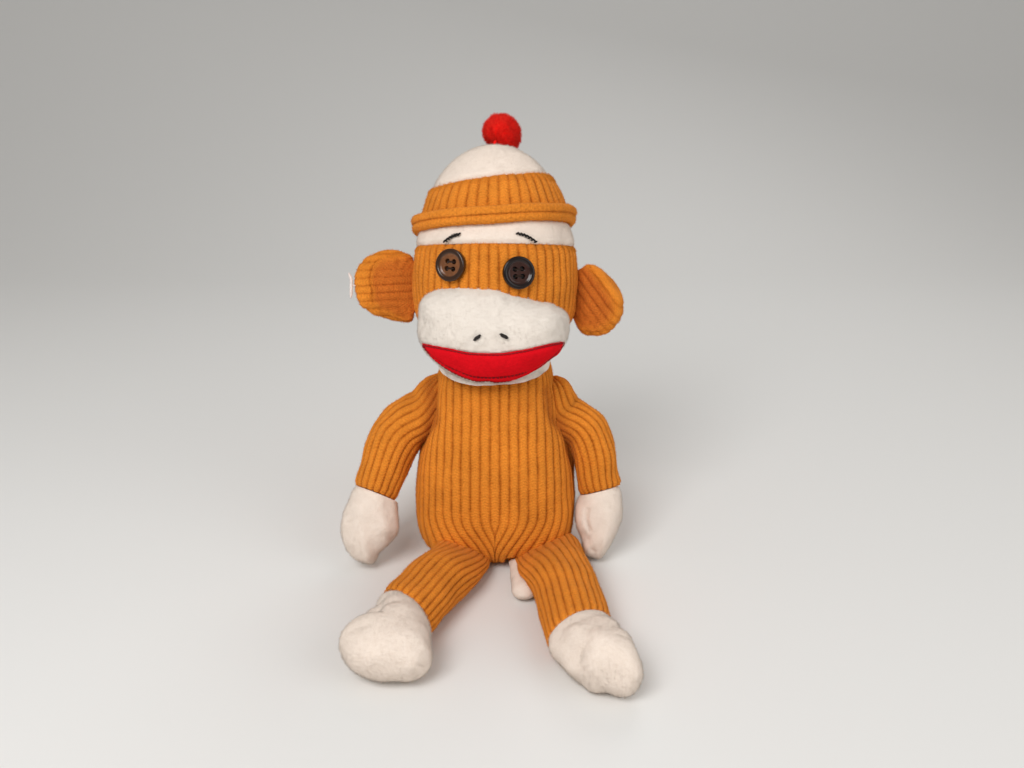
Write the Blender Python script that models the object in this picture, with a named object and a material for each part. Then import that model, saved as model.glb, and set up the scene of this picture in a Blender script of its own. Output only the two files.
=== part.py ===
"""Seated sock monkey doll with button eyes, a striped knitted hat and a pompom.

Metres, +Z up. The doll sits on the XY plane and faces -Y, and the origin is the middle of
the flat that it sits on. Left and right are the doll's own: its left is +X.

Every stuffed piece is a form that swells from a seam and tapers again. A limb is pinched
flat where it is sewn in, and it swings about that seam. Run it with
blender --background --python part.py, or from Blender's text editor.
"""

import math

import bmesh
import bpy
import numpy as np
from mathutils import Matrix, Vector

# Clearances
GAP = 0.0003
FLOOR_PRESS = 0.0005
OVERRUN = 0.004

# Torso: a pear on a wide seat, leaning back
TORSO_WIDTH = 0.0810
TORSO_DEPTH = 0.0680
TORSO_HEIGHT = 0.1120
BELLY_HEIGHT = 0.0300
TORSO_LEAN = math.radians(7.5)
TORSO_SIDES = 40
SEAT_POWER = 4.0
SEAT_PLAN_POWER = 3.2
CHEST_PLAN_POWER = 2.2
TORSO_LOWER_RINGS = 7
TORSO_UPPER_SHARES = (0.268, 0.40, 0.53, 0.64, 0.75, 0.83, 0.89, 0.94, 1.0)
TORSO_WIDTH_SHARES = (1.0, 0.972, 0.882, 0.797, 0.735, 0.680, 0.615, 0.530, 0.430)
TORSO_DEPTH_SHARES = (1.0, 0.975, 0.895, 0.818, 0.735, 0.655, 0.575, 0.510, 0.450)

# Neck: the plane where the head is sewn on, and the axis that the head turns about
NECK_HEIGHT = 0.1030
NECK_LEAN = math.radians(14.0)

# Shoulders: a flat on each side of the chest that the arm turns against
LEFT_SHOULDER_HEIGHT = 0.0785
RIGHT_SHOULDER_HEIGHT = 0.0830
LEFT_SHOULDER_OUT = 0.0302
RIGHT_SHOULDER_OUT = 0.0290
SHOULDER_BACK = 0.0005
SHOULDER_TILT = math.radians(15.0)

# Arms: a stuffed tube from the shoulder to the wrist, then a white hand
ARM_ROOT_RADIUS = 0.0098
LEFT_ARM_RADIUS = 0.0116
RIGHT_ARM_RADIUS = 0.0134
WRIST_RADIUS = 0.0105
ARM_INSIDE = 0.0060
ARM_SIDES = 20
ARM_RINGS = 12
UPPER_ARM_SHARE = 0.45
UPPER_ARM_SWELL = -0.0008
ARM_LENGTH_SHARES = (0.0, 0.22, 0.5, 0.8, 1.0)
ARM_BULGE_SHARES = (0.0, 0.75, 1.0, 0.45, 0.0)
LEFT_WRIST_OUT = 0.0532
RIGHT_WRIST_OUT = 0.0600
LEFT_ELBOW_OUT = 0.0470
RIGHT_ELBOW_OUT = 0.0495
LEFT_WRIST_FRONT = 0.0070
RIGHT_WRIST_FRONT = 0.0120
LEFT_WRIST_HEIGHT = 0.0334
RIGHT_WRIST_HEIGHT = 0.0342
ELBOW_BACK = 0.0050
ELBOW_HEIGHT = 0.0610

# Hands: mittens turned in a little at the wrist, with the thumb as a bump
HAND_LENGTH = 0.0350
LEFT_HAND_WIDTH = 0.0220
RIGHT_HAND_WIDTH = 0.0240
HAND_DEPTH = 0.0215
LEFT_HAND_TURN = math.radians(6.5)
RIGHT_HAND_TURN = math.radians(9.0)
HAND_RINGS = 9
THUMB_SIZE = 0.0175
THUMB_OUT = 0.0025
PALM_SHARE = 0.42
PALM_REACH_SHARE = 0.58
CUFF_RISE_SHARE = 0.30
CUFF_REACH_SHARE = 0.40

# Hips: a flat at each lower corner of the seat, where a leg's seam lies
HIP_HEIGHT = 0.0108
LEFT_HIP_OUT = 0.0288
RIGHT_HIP_OUT = 0.0160
LEFT_HIP_AZIMUTH = math.radians(8.0)
RIGHT_HIP_AZIMUTH = math.radians(16.0)
HIP_DROP = math.radians(25.0)
HIP_FLAT_DEPTH = 0.0012
SEAM_RADIUS = 0.0010

# Legs: pinched at the hip seam, round along the shin
LEG_SEAM_WIDTH = 0.0258
LEG_WIDTH = 0.0282
LEG_THICKNESS = 0.0235
ANKLE_WIDTH = 0.0255
LEG_SIDES = 20
LEG_RINGS = 12
LEG_LENGTH_SHARES = (0.0, 0.06, 0.14, 0.28, 0.5, 0.8, 1.0)
LEG_WIDTH_SHARES = (0.0, 0.25, 0.55, 0.9, 1.0, 0.85, 0.0)
LEG_THICKNESS_SHARES = (0.0, 0.18, 0.42, 0.75, 1.0, 1.0, 0.97)
LEFT_ANKLE_OUT = 0.0360
LEFT_ANKLE_FRONT = 0.0880
RIGHT_ANKLE_OUT = 0.0370
RIGHT_ANKLE_FRONT = 0.0790
LEG_BEND_SHARES = (0.20, 0.60, 0.02)
SEAM_NOSE_SHARES = (0.95, 0.60)
SEAM_NOSE_TALL_SHARES = (0.30, 0.80)
SEAM_NOSE_SHORT_SHARES = (0.60, 0.20)

# Feet: boots that lie with the toe turned outwards
FOOT_LENGTH = 0.0360
FOOT_HEIGHT = 0.0405
FOOT_THICKNESS = 0.0265
HEEL_RADIUS = 0.0145
LEFT_TOE_ROLL = math.radians(5.0)
RIGHT_TOE_ROLL = math.radians(0.0)
LEFT_TOE_AZIMUTH = math.radians(-40.0)
RIGHT_TOE_AZIMUTH = math.radians(-6.0)
FOOT_RINGS = 10
FOOT_MIDDLE_SHARE = 0.48
FOOT_NECK_SHARES = (0.22, 0.45)
LEFT_FOOT_SHIFT = 0.0015
RIGHT_FOOT_SHIFT = -0.0045
HEEL_SHARES = (0.04, 0.08, 0.46)
TOE_SHARES = (0.22, 0.14, 0.48, 0.36)

# Head: a stuffed bag, sewn from stacked bands, measured up from the neck
HEAD_WIDTH = 0.0815
HEAD_DEPTH = 0.0725
HEAD_HEIGHT = 0.0985
HEAD_SIDES = 40
NECK_WIDTH = 0.0380
FACE_TOP = 0.0490
FOREHEAD_TOP = 0.0600
HAT_BAND_TOP = 0.0805
HAT_BAND_TILT = math.radians(7.0)
HEAD_HEIGHT_SHARES = (
    0.0, 0.035, 0.10, 0.20, 0.33, 0.43, 0.51, 0.59, 0.67, 0.75, 0.83, 0.895, 0.95, 0.985, 1.0
)
HEAD_WIDTH_SHARES = (
    0.466, 0.70, 0.89, 0.98, 1.0, 0.985, 0.95, 0.90, 0.86, 0.79, 0.68, 0.54, 0.37, 0.20, 0.06
)
HEAD_DEPTH_SHARES = (
    0.466, 0.70, 0.89, 0.98, 1.0, 0.99, 0.965, 0.92, 0.88, 0.81, 0.70, 0.555, 0.38, 0.205, 0.06
)
EYES_YAW = math.radians(-4.5)
MUZZLE_YAW = math.radians(-3.2)

# Hat brim: a rolled cuff round the head
BRIM_HEIGHT = 0.0072
BRIM_THICKNESS = 0.0040
BRIM_LEVEL = 0.0585
BRIM_TILT = math.radians(5.0)
BRIM_SIDES = 40
BRIM_PROFILE_SIDES = 10
BRIM_PROFILE_POWER = 2.4

# Pompom: a ball of yarn on a short tie at the crown's peak
POMPOM_WIDTH = 0.0182
POMPOM_HEIGHT = 0.0185
POMPOM_TIE_RADIUS = 0.0014
POMPOM_TIE_LENGTH = 0.0016
POMPOM_LEAN_BACK = math.radians(54.0)
POMPOM_LEAN_SIDE = math.radians(20.0)
POMPOM_RINGS = 11
POMPOM_SIDES = 18
POMPOM_TIE_RINGS = 7
POMPOM_TIE_SIDES = 10
POMPOM_TUFTS = 7
POMPOM_TUFT_SHARE = 0.05

# Muzzle: a stuffed oval on the lower face, with the mouth across it
MUZZLE_WIDTH = 0.0725
MUZZLE_HEIGHT = 0.0485
MUZZLE_DEPTH = 0.0500
MUZZLE_LEVEL = 0.0066
MUZZLE_FORWARD = 0.0215
MUZZLE_SIDES = 36
MUZZLE_RINGS = 18
MUZZLE_BLEND = 6.0
CHIN_CLEAR_SHARES = (-0.36, -0.16, -0.08, 0.0, 0.035)
CHIN_CLEAR_RADIUS_SHARES = (0.86, 0.78, 0.72, 0.63, 0.60)
MUZZLE_LOBE_SHARES = (0.95, 0.04, 0.82, 0.94, 0.98)
LIP_THICKNESS = 0.0012
LIP_WIDTH = 0.0670
LIP_LEVEL = 0.0032
LIP_HEIGHT = 0.0174
LIP_SAG = 0.0045
LIP_SIDE = 0.0014
LIP_POINTS = 15
LIP_FLAT_SHARE = 0.12

# Button eyes: dished discs with a raised rim and four thread holes
BUTTON_RADIUS = 0.0075
BUTTON_THICKNESS = 0.0030
BUTTON_RIM_WIDTH = 0.0016
BUTTON_DISH = 0.0009
BUTTON_EDGE = 0.0008
BUTTON_HOLE_RADIUS = 0.0009
BUTTON_HOLE_SPACING = 0.0030
BUTTON_SIDES = 28
HOLE_SIDES = 8
LEFT_EYE_ANGLE = math.radians(20.0)
LEFT_EYE_LEVEL = 0.0355
RIGHT_EYE_ANGLE = math.radians(-23.5)
RIGHT_EYE_LEVEL = 0.0390

# Ears: thick discs sewn into the sides of the head, with an inset lining
EAR_LENGTH = 0.0275
EAR_HEIGHT = 0.0370
EAR_THICKNESS = 0.0095
LEFT_EAR_LEVEL = 0.0266
RIGHT_EAR_LEVEL = 0.0284
EAR_SIDES = 20
LEFT_EAR_FORWARD = math.radians(38.0)
RIGHT_EAR_FORWARD = math.radians(18.0)
LEFT_EAR_DROOP = math.radians(12.0)
RIGHT_EAR_DROOP = math.radians(0.0)
LINING_WIDTH_SHARE = 0.62
LINING_HEIGHT_SHARE = 0.66
LINING_THICKNESS = 0.0034
LINING_RINGS = 7
LINING_OUT_SHARE = 0.52
LINING_SUNK_SHARE = 0.25
EAR_LENGTH_SHARES = (0.0, 0.12, 0.3, 0.5, 0.68, 0.83, 0.93, 1.0)
EAR_HEIGHT_SHARES = (0.90, 0.95, 1.0, 1.0, 0.95, 0.78, 0.55, 0.16)
EAR_THICKNESS_SHARES = (0.0, 0.30, 0.72, 1.0, 1.0, 0.86, 0.62, 0.22)

# Tail: sewn in behind the seat, running forward under it and out between the legs
TAIL_WIDTH = 0.0095
TAIL_THICKNESS = 0.0090
TAIL_SAT_ON = 0.0044
TAIL_PLAY = 0.0018
TAIL_ROOT_HEIGHT = 0.0200
TAIL_ROOT_SHARE = 0.35
TAIL_UNDER = 0.0106
TAIL_TIP_OUT = 0.0122
TAIL_FRONT = 0.0570
TAIL_TIP_LENGTH = 0.0225
TAIL_SIDES = 12
TAIL_RINGS = 24
TAIL_ACROSS_SHARES = (0.10, 0.35, 0.80)
TAIL_BACK_SHARES = (0.80, 0.20, -0.20, -0.52)
TAIL_HEIGHT_SHARES = (0.62, 0.55, 0.42, 0.50)
TAIL_FLAT_STATION_SHARES = (0.0, 0.15, 0.32, 0.60, 0.75, 0.85, 1.0)
TAIL_FLAT_SHARES = (0.35, 0.90, 0.49, 0.49, 0.85, 1.0, 0.55)
TAIL_WIDE_STATION_SHARES = (0.0, 0.15, 0.32, 0.60, 0.85, 0.96, 1.0)
TAIL_WIDE_SHARES = (0.80, 1.0, 1.10, 1.10, 1.0, 0.80, 0.40)

# Materials: colour, roughness
KNIT = ("brown_rib_knit", (0.58, 0.23, 0.035), 0.95)
LINING = ("rust_rib_knit", (0.46, 0.15, 0.025), 0.95)
PLUSH = ("ivory_plush", (0.83, 0.76, 0.63), 0.95)
RED_YARN = ("red_yarn", (0.55, 0.012, 0.008), 0.9)
RED_FLEECE = ("red_fleece", (0.52, 0.008, 0.008), 0.9)
BUTTON = ("brown_button", (0.030, 0.014, 0.008), 0.22)


def clear_scene():
    for old in list(bpy.data.objects):
        bpy.data.objects.remove(old)


def finish_of(finish):
    """The Principled material of a finish, made the first time that it is asked for."""
    name, colour, roughness = finish
    made = bpy.data.materials.get(name)
    if made is None:
        made = bpy.data.materials.new(name)
        made.use_nodes = True
        shader = made.node_tree.nodes["Principled BSDF"]
        shader.inputs["Base Color"].default_value = (*colour, 1)
        shader.inputs["Roughness"].default_value = roughness
        shader.inputs["Metallic"].default_value = 0
    return made


def smooth(at, stations, values):
    """A monotone cubic through values at stations, with Fritsch and Carlson's slopes."""
    at, x, y = (np.asarray(a, float) for a in (at, stations, values))
    step, rise = np.diff(x), np.diff(y)
    slope = rise / step
    product, total = slope[:-1] * slope[1:], slope[:-1] + slope[1:]
    middle = np.where(product > 0, 2 * product / np.where(product > 0, total, 1), 0)
    tangent = np.concatenate([slope[:1], middle, slope[-1:]])
    i = np.clip(np.searchsorted(x, at, side="right") - 1, 0, len(x) - 2)
    t = np.clip((at - x[i]) / step[i], 0, 1)
    return (
        (1 + 2 * t) * (1 - t) ** 2 * y[i]
        + t * (1 - t) ** 2 * step[i] * tangent[i]
        + t**2 * (3 - 2 * t) * y[i + 1]
        - t**2 * (1 - t) * step[i] * tangent[i + 1]
    )


def smooth_path(points, count):
    """A path of count points through the given ones, eased by their running length."""
    points = np.array(points, float)
    along = np.concatenate([[0], np.cumsum(np.linalg.norm(np.diff(points, axis=0), axis=1))])
    along /= along[-1]
    at = np.linspace(0, 1, count)
    slopes = np.gradient(points, along, axis=0)
    i = np.clip(np.searchsorted(along, at, side="right") - 1, 0, len(points) - 2)
    step = (along[i + 1] - along[i])[:, None]
    t = ((at - along[i])[:, None]) / step
    return (
        (1 + 2 * t) * (1 - t) ** 2 * points[i]
        + t * (1 - t) ** 2 * step * slopes[i]
        + t**2 * (3 - 2 * t) * points[i + 1]
        - t**2 * (1 - t) * step * slopes[i + 1]
    )


def unit(vectors):
    vectors = np.asarray(vectors, float)
    return vectors / np.linalg.norm(vectors, axis=-1, keepdims=True)


def ring_points(centres, wide_axes, tall_axes, half_wide, half_tall, sides, power=2.0):
    """Superellipses round the centres, one ring after another."""
    angle = np.linspace(0, 2 * math.pi, sides, endpoint=False)
    power = np.broadcast_to(power, len(centres))[:, None]
    across = np.sign(np.cos(angle)) * np.abs(np.cos(angle)) ** (2 / power)
    up = np.sign(np.sin(angle)) * np.abs(np.sin(angle)) ** (2 / power)
    return (
        np.asarray(centres)[:, None, :]
        + (np.asarray(half_wide)[:, None] * across)[:, :, None] * np.asarray(wide_axes)[:, None, :]
        + (np.asarray(half_tall)[:, None] * up)[:, :, None] * np.asarray(tall_axes)[:, None, :]
    )


def new_object(name, mesh_data, finish, smooth_angle=math.radians(40)):
    """An object from bmesh data, with its faces turned outwards and round parts shaded smooth."""
    bmesh.ops.recalc_face_normals(mesh_data, faces=mesh_data.faces)
    mesh = bpy.data.meshes.new(name)
    mesh_data.to_mesh(mesh)
    mesh_data.free()
    mesh.shade_smooth()
    mesh.set_sharp_from_angle(angle=smooth_angle)
    mesh.materials.append(finish_of(finish))
    made = bpy.data.objects.new(name, mesh)
    bpy.context.scene.collection.objects.link(made)
    return made


def loft(rings, closed_round=False):
    """bmesh data of a skin over the rings: capped at both ends, or joined end to end."""
    data = bmesh.new()
    grid = [[data.verts.new(point) for point in ring] for ring in rings]
    pairs = list(zip(grid, grid[1:] + grid[:1])) if closed_round else list(zip(grid, grid[1:]))
    for lower, upper in pairs:
        for k in range(len(lower)):
            after = (k + 1) % len(lower)
            data.faces.new((lower[k], lower[after], upper[after], upper[k]))
    if not closed_round:
        data.faces.new(grid[0][::-1])
        data.faces.new(grid[-1])
    return data


def lobed(origin, axes, lobes, rings, sides, blend=9.0):
    """bmesh data of ellipsoids run together, seen from an origin that lies inside each.

    A lobe is (centre, radii) in the given axes. Along each direction the surface is the
    smooth maximum of the distances at which the lobes end.
    """
    axes = np.array(axes, float)
    tilt = np.linspace(0, math.pi, rings + 2)[1:-1]
    turn = np.linspace(0, 2 * math.pi, sides, endpoint=False)
    way = np.stack(
        [
            np.outer(np.sin(tilt), np.cos(turn)),
            np.outer(np.sin(tilt), np.sin(turn)),
            np.outer(np.cos(tilt), np.ones(sides)),
        ],
        axis=-1,
    ).reshape(-1, 3)
    way = np.concatenate([way, [[0, 0, 1], [0, 0, -1]]])
    reach = np.zeros(len(way))
    scale = max(max(radii) for _, radii in lobes)
    for centre, radii in lobes:
        start = -np.array(centre, float) / radii
        slope = way / radii
        a, b, c = (slope**2).sum(1), slope @ start, start @ start - 1
        reach += ((-b + np.sqrt(b * b - a * c)) / a / scale) ** blend
    points = np.array(origin) + (way * (scale * reach ** (1 / blend))[:, None]) @ axes
    data = bmesh.new()
    made = [data.verts.new(point) for point in points]
    north, south = made[-2:]
    for j in range(sides):
        after = (j + 1) % sides
        for i in range(rings - 1):
            low, high = i * sides, (i + 1) * sides
            data.faces.new((made[low + j], made[high + j], made[high + after], made[low + after]))
        data.faces.new((north, made[j], made[after]))
        last = (rings - 1) * sides
        data.faces.new((south, made[last + after], made[last + j]))
    return data


def slice_off(data, point, normal):
    """Cuts away what lies on the side of a plane that its normal points to, and closes the cut."""
    geometry = data.verts[:] + data.edges[:] + data.faces[:]
    cut = bmesh.ops.bisect_plane(
        data, geom=geometry, plane_co=Vector(point), plane_no=Vector(normal), clear_outer=True
    )
    edges = [e for e in cut["geom_cut"] if isinstance(e, bmesh.types.BMEdge)]
    bmesh.ops.contextual_create(data, geom=edges)
    return data


def boolean(target, cutter, operation="DIFFERENCE"):
    """Applies a Boolean between two objects and removes the cutter."""
    change = target.modifiers.new("cut", "BOOLEAN")
    change.object = cutter
    change.operation = operation
    shape = bpy.data.meshes.new_from_object(target.evaluated_get(bpy.context.evaluated_depsgraph_get()))
    target.modifiers.clear()
    target.data = shape
    bpy.data.objects.remove(cutter)


def keep_place(piece, pivot):
    """Moves an object's origin to the pivot and leaves its shape where it is."""
    piece.data.transform(Matrix.Translation(-Vector(pivot)))
    piece.location = pivot


def hang_on(piece, parent):
    """Parents a piece to an empty and keeps it where it is in the world."""
    bpy.context.view_layer.update()
    piece.parent = parent
    piece.matrix_parent_inverse = parent.matrix_world.inverted()


def empty(name, place):
    made = bpy.data.objects.new(name, None)
    made.matrix_world = place
    made.empty_display_size = NECK_WIDTH
    bpy.context.scene.collection.objects.link(made)
    return made


def torso_back(height):
    """How far back the torso's middle has leaned at a height."""
    return math.tan(TORSO_LEAN) * height


def torso_half(height):
    """The torso's half width, half depth and plan power at a height."""
    if height <= BELLY_HEIGHT:
        left = 1 - (height + FLOOR_PRESS) / (BELLY_HEIGHT + FLOOR_PRESS)
        share = (1 - left**SEAT_POWER) ** (1 / SEAT_POWER)
        wide, deep = share, share
    else:
        at = [height / TORSO_HEIGHT]
        start = BELLY_HEIGHT / TORSO_HEIGHT
        shares = (start, *TORSO_UPPER_SHARES[1:])
        wide = smooth(at, shares, TORSO_WIDTH_SHARES)[0]
        deep = smooth(at, shares, TORSO_DEPTH_SHARES)[0]
    rise = min(1, height / NECK_HEIGHT)
    power = SEAT_PLAN_POWER + (CHEST_PLAN_POWER - SEAT_PLAN_POWER) * math.sqrt(rise)
    return wide * TORSO_WIDTH / 2, deep * TORSO_DEPTH / 2, power


def neck_frame():
    """The head's own frame: at the neck, X to the doll's left, Y back, Z up along the head."""
    place = Vector((0, torso_back(NECK_HEIGHT), NECK_HEIGHT))
    return Matrix.Translation(place) @ Matrix.Rotation(-NECK_LEAN, 4, "X")


def shoulder_plane(side):
    """A point on the side's shoulder flat, and the flat's outward normal."""
    out = LEFT_SHOULDER_OUT if side > 0 else RIGHT_SHOULDER_OUT
    height = LEFT_SHOULDER_HEIGHT if side > 0 else RIGHT_SHOULDER_HEIGHT
    point = Vector((side * out, torso_back(height) + SHOULDER_BACK, height))
    return point, Vector((side * math.cos(SHOULDER_TILT), 0, math.sin(SHOULDER_TILT)))


def hip_plane(side):
    """The middle of the side's hip flat, its normal, and the level way that the leg leaves it."""
    out = LEFT_HIP_OUT if side > 0 else RIGHT_HIP_OUT
    wide, deep, power = torso_half(HIP_HEIGHT)
    front = torso_back(HIP_HEIGHT) - deep * (1 - (out / wide) ** power) ** (1 / power)
    azimuth = LEFT_HIP_AZIMUTH if side > 0 else RIGHT_HIP_AZIMUTH
    ahead = Vector((side * math.sin(azimuth), -math.cos(azimuth), 0))
    normal = ahead * math.cos(HIP_DROP) - Vector((0, 0, math.sin(HIP_DROP)))
    point = Vector((side * out, front, HIP_HEIGHT)) - normal * HIP_FLAT_DEPTH
    return point, normal, ahead


def tail_rings(extra):
    """The tail's rings from its root to its tip, each half size grown by extra."""
    root = Vector((0, tail_root_back(), TAIL_ROOT_HEIGHT))
    back = root.y + TAIL_THICKNESS / 2
    low = TAIL_SAT_ON / 2
    across_1, across_2, across_3 = (TAIL_UNDER * share for share in TAIL_ACROSS_SHARES)
    turned, behind, ahead, outside = TAIL_BACK_SHARES
    height_1, height_2, height_3, height_4 = TAIL_HEIGHT_SHARES
    path = smooth_path(
        (
            root,
            (across_1, back, TAIL_ROOT_HEIGHT * height_1),
            (across_2, back - TAIL_THICKNESS * turned, TAIL_THICKNESS * height_2),
            (across_3, TORSO_DEPTH * behind, low),
            (TAIL_UNDER, TORSO_DEPTH * ahead, low),
            (TAIL_UNDER, TORSO_DEPTH * outside, TAIL_THICKNESS * height_3),
            (TAIL_TIP_OUT, -TAIL_FRONT, TAIL_THICKNESS * height_4),
        ),
        TAIL_RINGS,
    )
    along = np.linspace(0, 1, TAIL_RINGS)
    flat = smooth(along, TAIL_FLAT_STATION_SHARES, TAIL_FLAT_SHARES)
    wide = smooth(along, TAIL_WIDE_STATION_SHARES, TAIL_WIDE_SHARES)
    ahead = unit(np.gradient(path, axis=0))
    across = np.tile((1.0, 0.0, 0.0), (TAIL_RINGS, 1))
    up = unit(np.cross(ahead, across))
    return path, across, up, wide * TAIL_WIDTH / 2 + extra, flat * TAIL_THICKNESS / 2 + extra


def tail_root_back():
    """Where the tail's seam lies behind the torso, clear of it by the gap."""
    deep = torso_half(TAIL_ROOT_HEIGHT)[1]
    return torso_back(TAIL_ROOT_HEIGHT) + deep + GAP + TAIL_THICKNESS * TAIL_ROOT_SHARE / 2


def build_torso():
    """The torso, with flats for the limbs and a straight-sided groove that the tail drops out of."""
    lower = np.linspace(0, math.pi / 2, TORSO_LOWER_RINGS)
    heights = list((1 - np.cos(lower)) * BELLY_HEIGHT)
    heights += [TORSO_HEIGHT * share for share in TORSO_UPPER_SHARES[1:]]
    halves = [torso_half(h) for h in heights]
    centres = [(0, torso_back(h), h) for h in heights]
    wide_axes = np.tile((1.0, 0.0, 0.0), (len(heights), 1))
    deep_axes = np.tile((0.0, 1.0, 0.0), (len(heights), 1))
    rings = ring_points(
        centres,
        wide_axes,
        deep_axes,
        [h[0] for h in halves],
        [h[1] for h in halves],
        TORSO_SIDES,
        np.array([h[2] for h in halves]),
    )
    data = loft(rings)
    neck = neck_frame()
    slice_off(data, neck.translation - neck.col[2].xyz * GAP, neck.col[2].xyz)
    for side in (1, -1):
        slice_off(data, *shoulder_plane(side))
        point, normal, _ = hip_plane(side)
        slice_off(data, point, normal)
    torso = new_object("torso", data, KNIT)
    path, across, up, wide, tall = tail_rings(GAP)
    wide += TAIL_PLAY
    rings = ring_points(path, across, up, wide, tall, TAIL_SIDES)
    aside = rings[:, :, 0] - path[:, None, 0]
    beneath = (rings[:, :, 2] < path[:, None, 2] - GAP) & (path[:, None, 2] < TAIL_THICKNESS)
    edge = beneath & (np.abs(aside) > GAP)
    rings[:, :, 0] = np.where(edge, path[:, None, 0] + np.sign(aside) * wide[:, None], rings[:, :, 0])
    rings[:, :, 2] = np.where(beneath, -OVERRUN, rings[:, :, 2])
    boolean(torso, new_object("tail_groove", loft(rings), KNIT))


def build_tail():
    path, across, up, wide, tall = tail_rings(0)
    rings = ring_points(path, across, up, wide, tall, TAIL_SIDES)
    rings[:, :, 2] = np.maximum(rings[:, :, 2], 0)
    split = (0, -TAIL_FRONT + TAIL_TIP_LENGTH, 0)
    back = slice_off(loft(rings), split, (0, -1, 0))
    front = slice_off(loft(rings), (0, split[1] - GAP, 0), (0, 1, 0))
    pivot = (0, tail_root_back(), TAIL_ROOT_HEIGHT)
    for name, data, finish in (("tail", back, KNIT), ("tail_tip", front, PLUSH)):
        keep_place(new_object(name, data, finish), pivot)


def build_arm(side):
    """One arm and its hand; side is 1 for the doll's left and -1 for its right."""
    label = "left" if side > 0 else "right"
    point, normal = shoulder_plane(side)
    elbow_out = LEFT_ELBOW_OUT if side > 0 else RIGHT_ELBOW_OUT
    wrist_out = LEFT_WRIST_OUT if side > 0 else RIGHT_WRIST_OUT
    radius = LEFT_ARM_RADIUS if side > 0 else RIGHT_ARM_RADIUS
    elbow = Vector((side * elbow_out, ELBOW_BACK, ELBOW_HEIGHT))
    wrist_front = LEFT_WRIST_FRONT if side > 0 else RIGHT_WRIST_FRONT
    wrist_height = LEFT_WRIST_HEIGHT if side > 0 else RIGHT_WRIST_HEIGHT
    wrist = Vector((side * wrist_out, -wrist_front, wrist_height))
    start = point - normal * ARM_INSIDE
    swell = point.lerp(elbow, UPPER_ARM_SHARE) + normal * UPPER_ARM_SWELL
    path = smooth_path((start, swell, elbow, wrist), ARM_RINGS)
    along = np.linspace(0, 1, ARM_RINGS)
    ends = ARM_ROOT_RADIUS + (WRIST_RADIUS - ARM_ROOT_RADIUS) * along
    half = ends + (radius - ends) * smooth(along, ARM_LENGTH_SHARES, ARM_BULGE_SHARES)
    ahead = unit(np.gradient(path, axis=0))
    deep = unit(np.cross(ahead, (float(side), 0.0, 0.0)))
    wide = unit(np.cross(deep, ahead))
    data = loft(ring_points(path, wide, deep, half, half, ARM_SIDES))
    slice_off(data, point + normal * GAP, -normal)
    keep_place(new_object(label + "_arm", data, KNIT), point)

    cuff = Vector(ahead[-1])
    turn = LEFT_HAND_TURN if side > 0 else RIGHT_HAND_TURN
    turned = Matrix.Rotation(side * turn, 3, "Y")
    down = turned @ cuff
    inner = turned @ Vector(wide[-1])
    if inner.x * side > 0:
        inner = -inner
    front = inner.cross(down)
    if front.y > 0:
        front = -front
    width = LEFT_HAND_WIDTH if side > 0 else RIGHT_HAND_WIDTH
    thumb = THUMB_SIZE / 2
    cuff_reach = HAND_LENGTH * CUFF_REACH_SHARE
    if side > 0:
        thumb_lobe = ((0, THUMB_OUT, 0), (thumb, HAND_DEPTH / 2, thumb))
    else:
        thumb_lobe = ((THUMB_OUT, 0, 0), (width / 2, thumb, thumb))
    lobes = [
        ((0, 0, 0), (width / 2, HAND_DEPTH / 2, HAND_LENGTH * PALM_REACH_SHARE)),
        ((0, 0, -HAND_LENGTH * CUFF_RISE_SHARE), (WRIST_RADIUS, WRIST_RADIUS, cuff_reach)),
        thumb_lobe,
    ]
    palm = wrist + down * HAND_LENGTH * PALM_SHARE
    data = lobed(palm, (inner, front, down), lobes, HAND_RINGS, ARM_SIDES)
    slice_off(data, wrist + cuff * GAP, -cuff)
    slice_off(data, (0, 0, 0), (0, 0, -1))
    keep_place(new_object(label + "_hand", data, PLUSH), point)


def seam_nose(path, ahead, half_wide, half_tall):
    """Two rings put before a path that rounds off its pinched seam."""
    nose = path[0] - np.outer(SEAM_NOSE_SHARES, np.array(ahead)) * SEAM_RADIUS
    narrow = half_wide[0] - np.array(SEAM_NOSE_SHORT_SHARES) * SEAM_RADIUS
    thin = np.array(SEAM_NOSE_TALL_SHARES) * SEAM_RADIUS
    return (
        np.concatenate([nose, path]),
        np.concatenate([narrow, half_wide]),
        np.concatenate([thin, half_tall]),
    )


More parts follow.
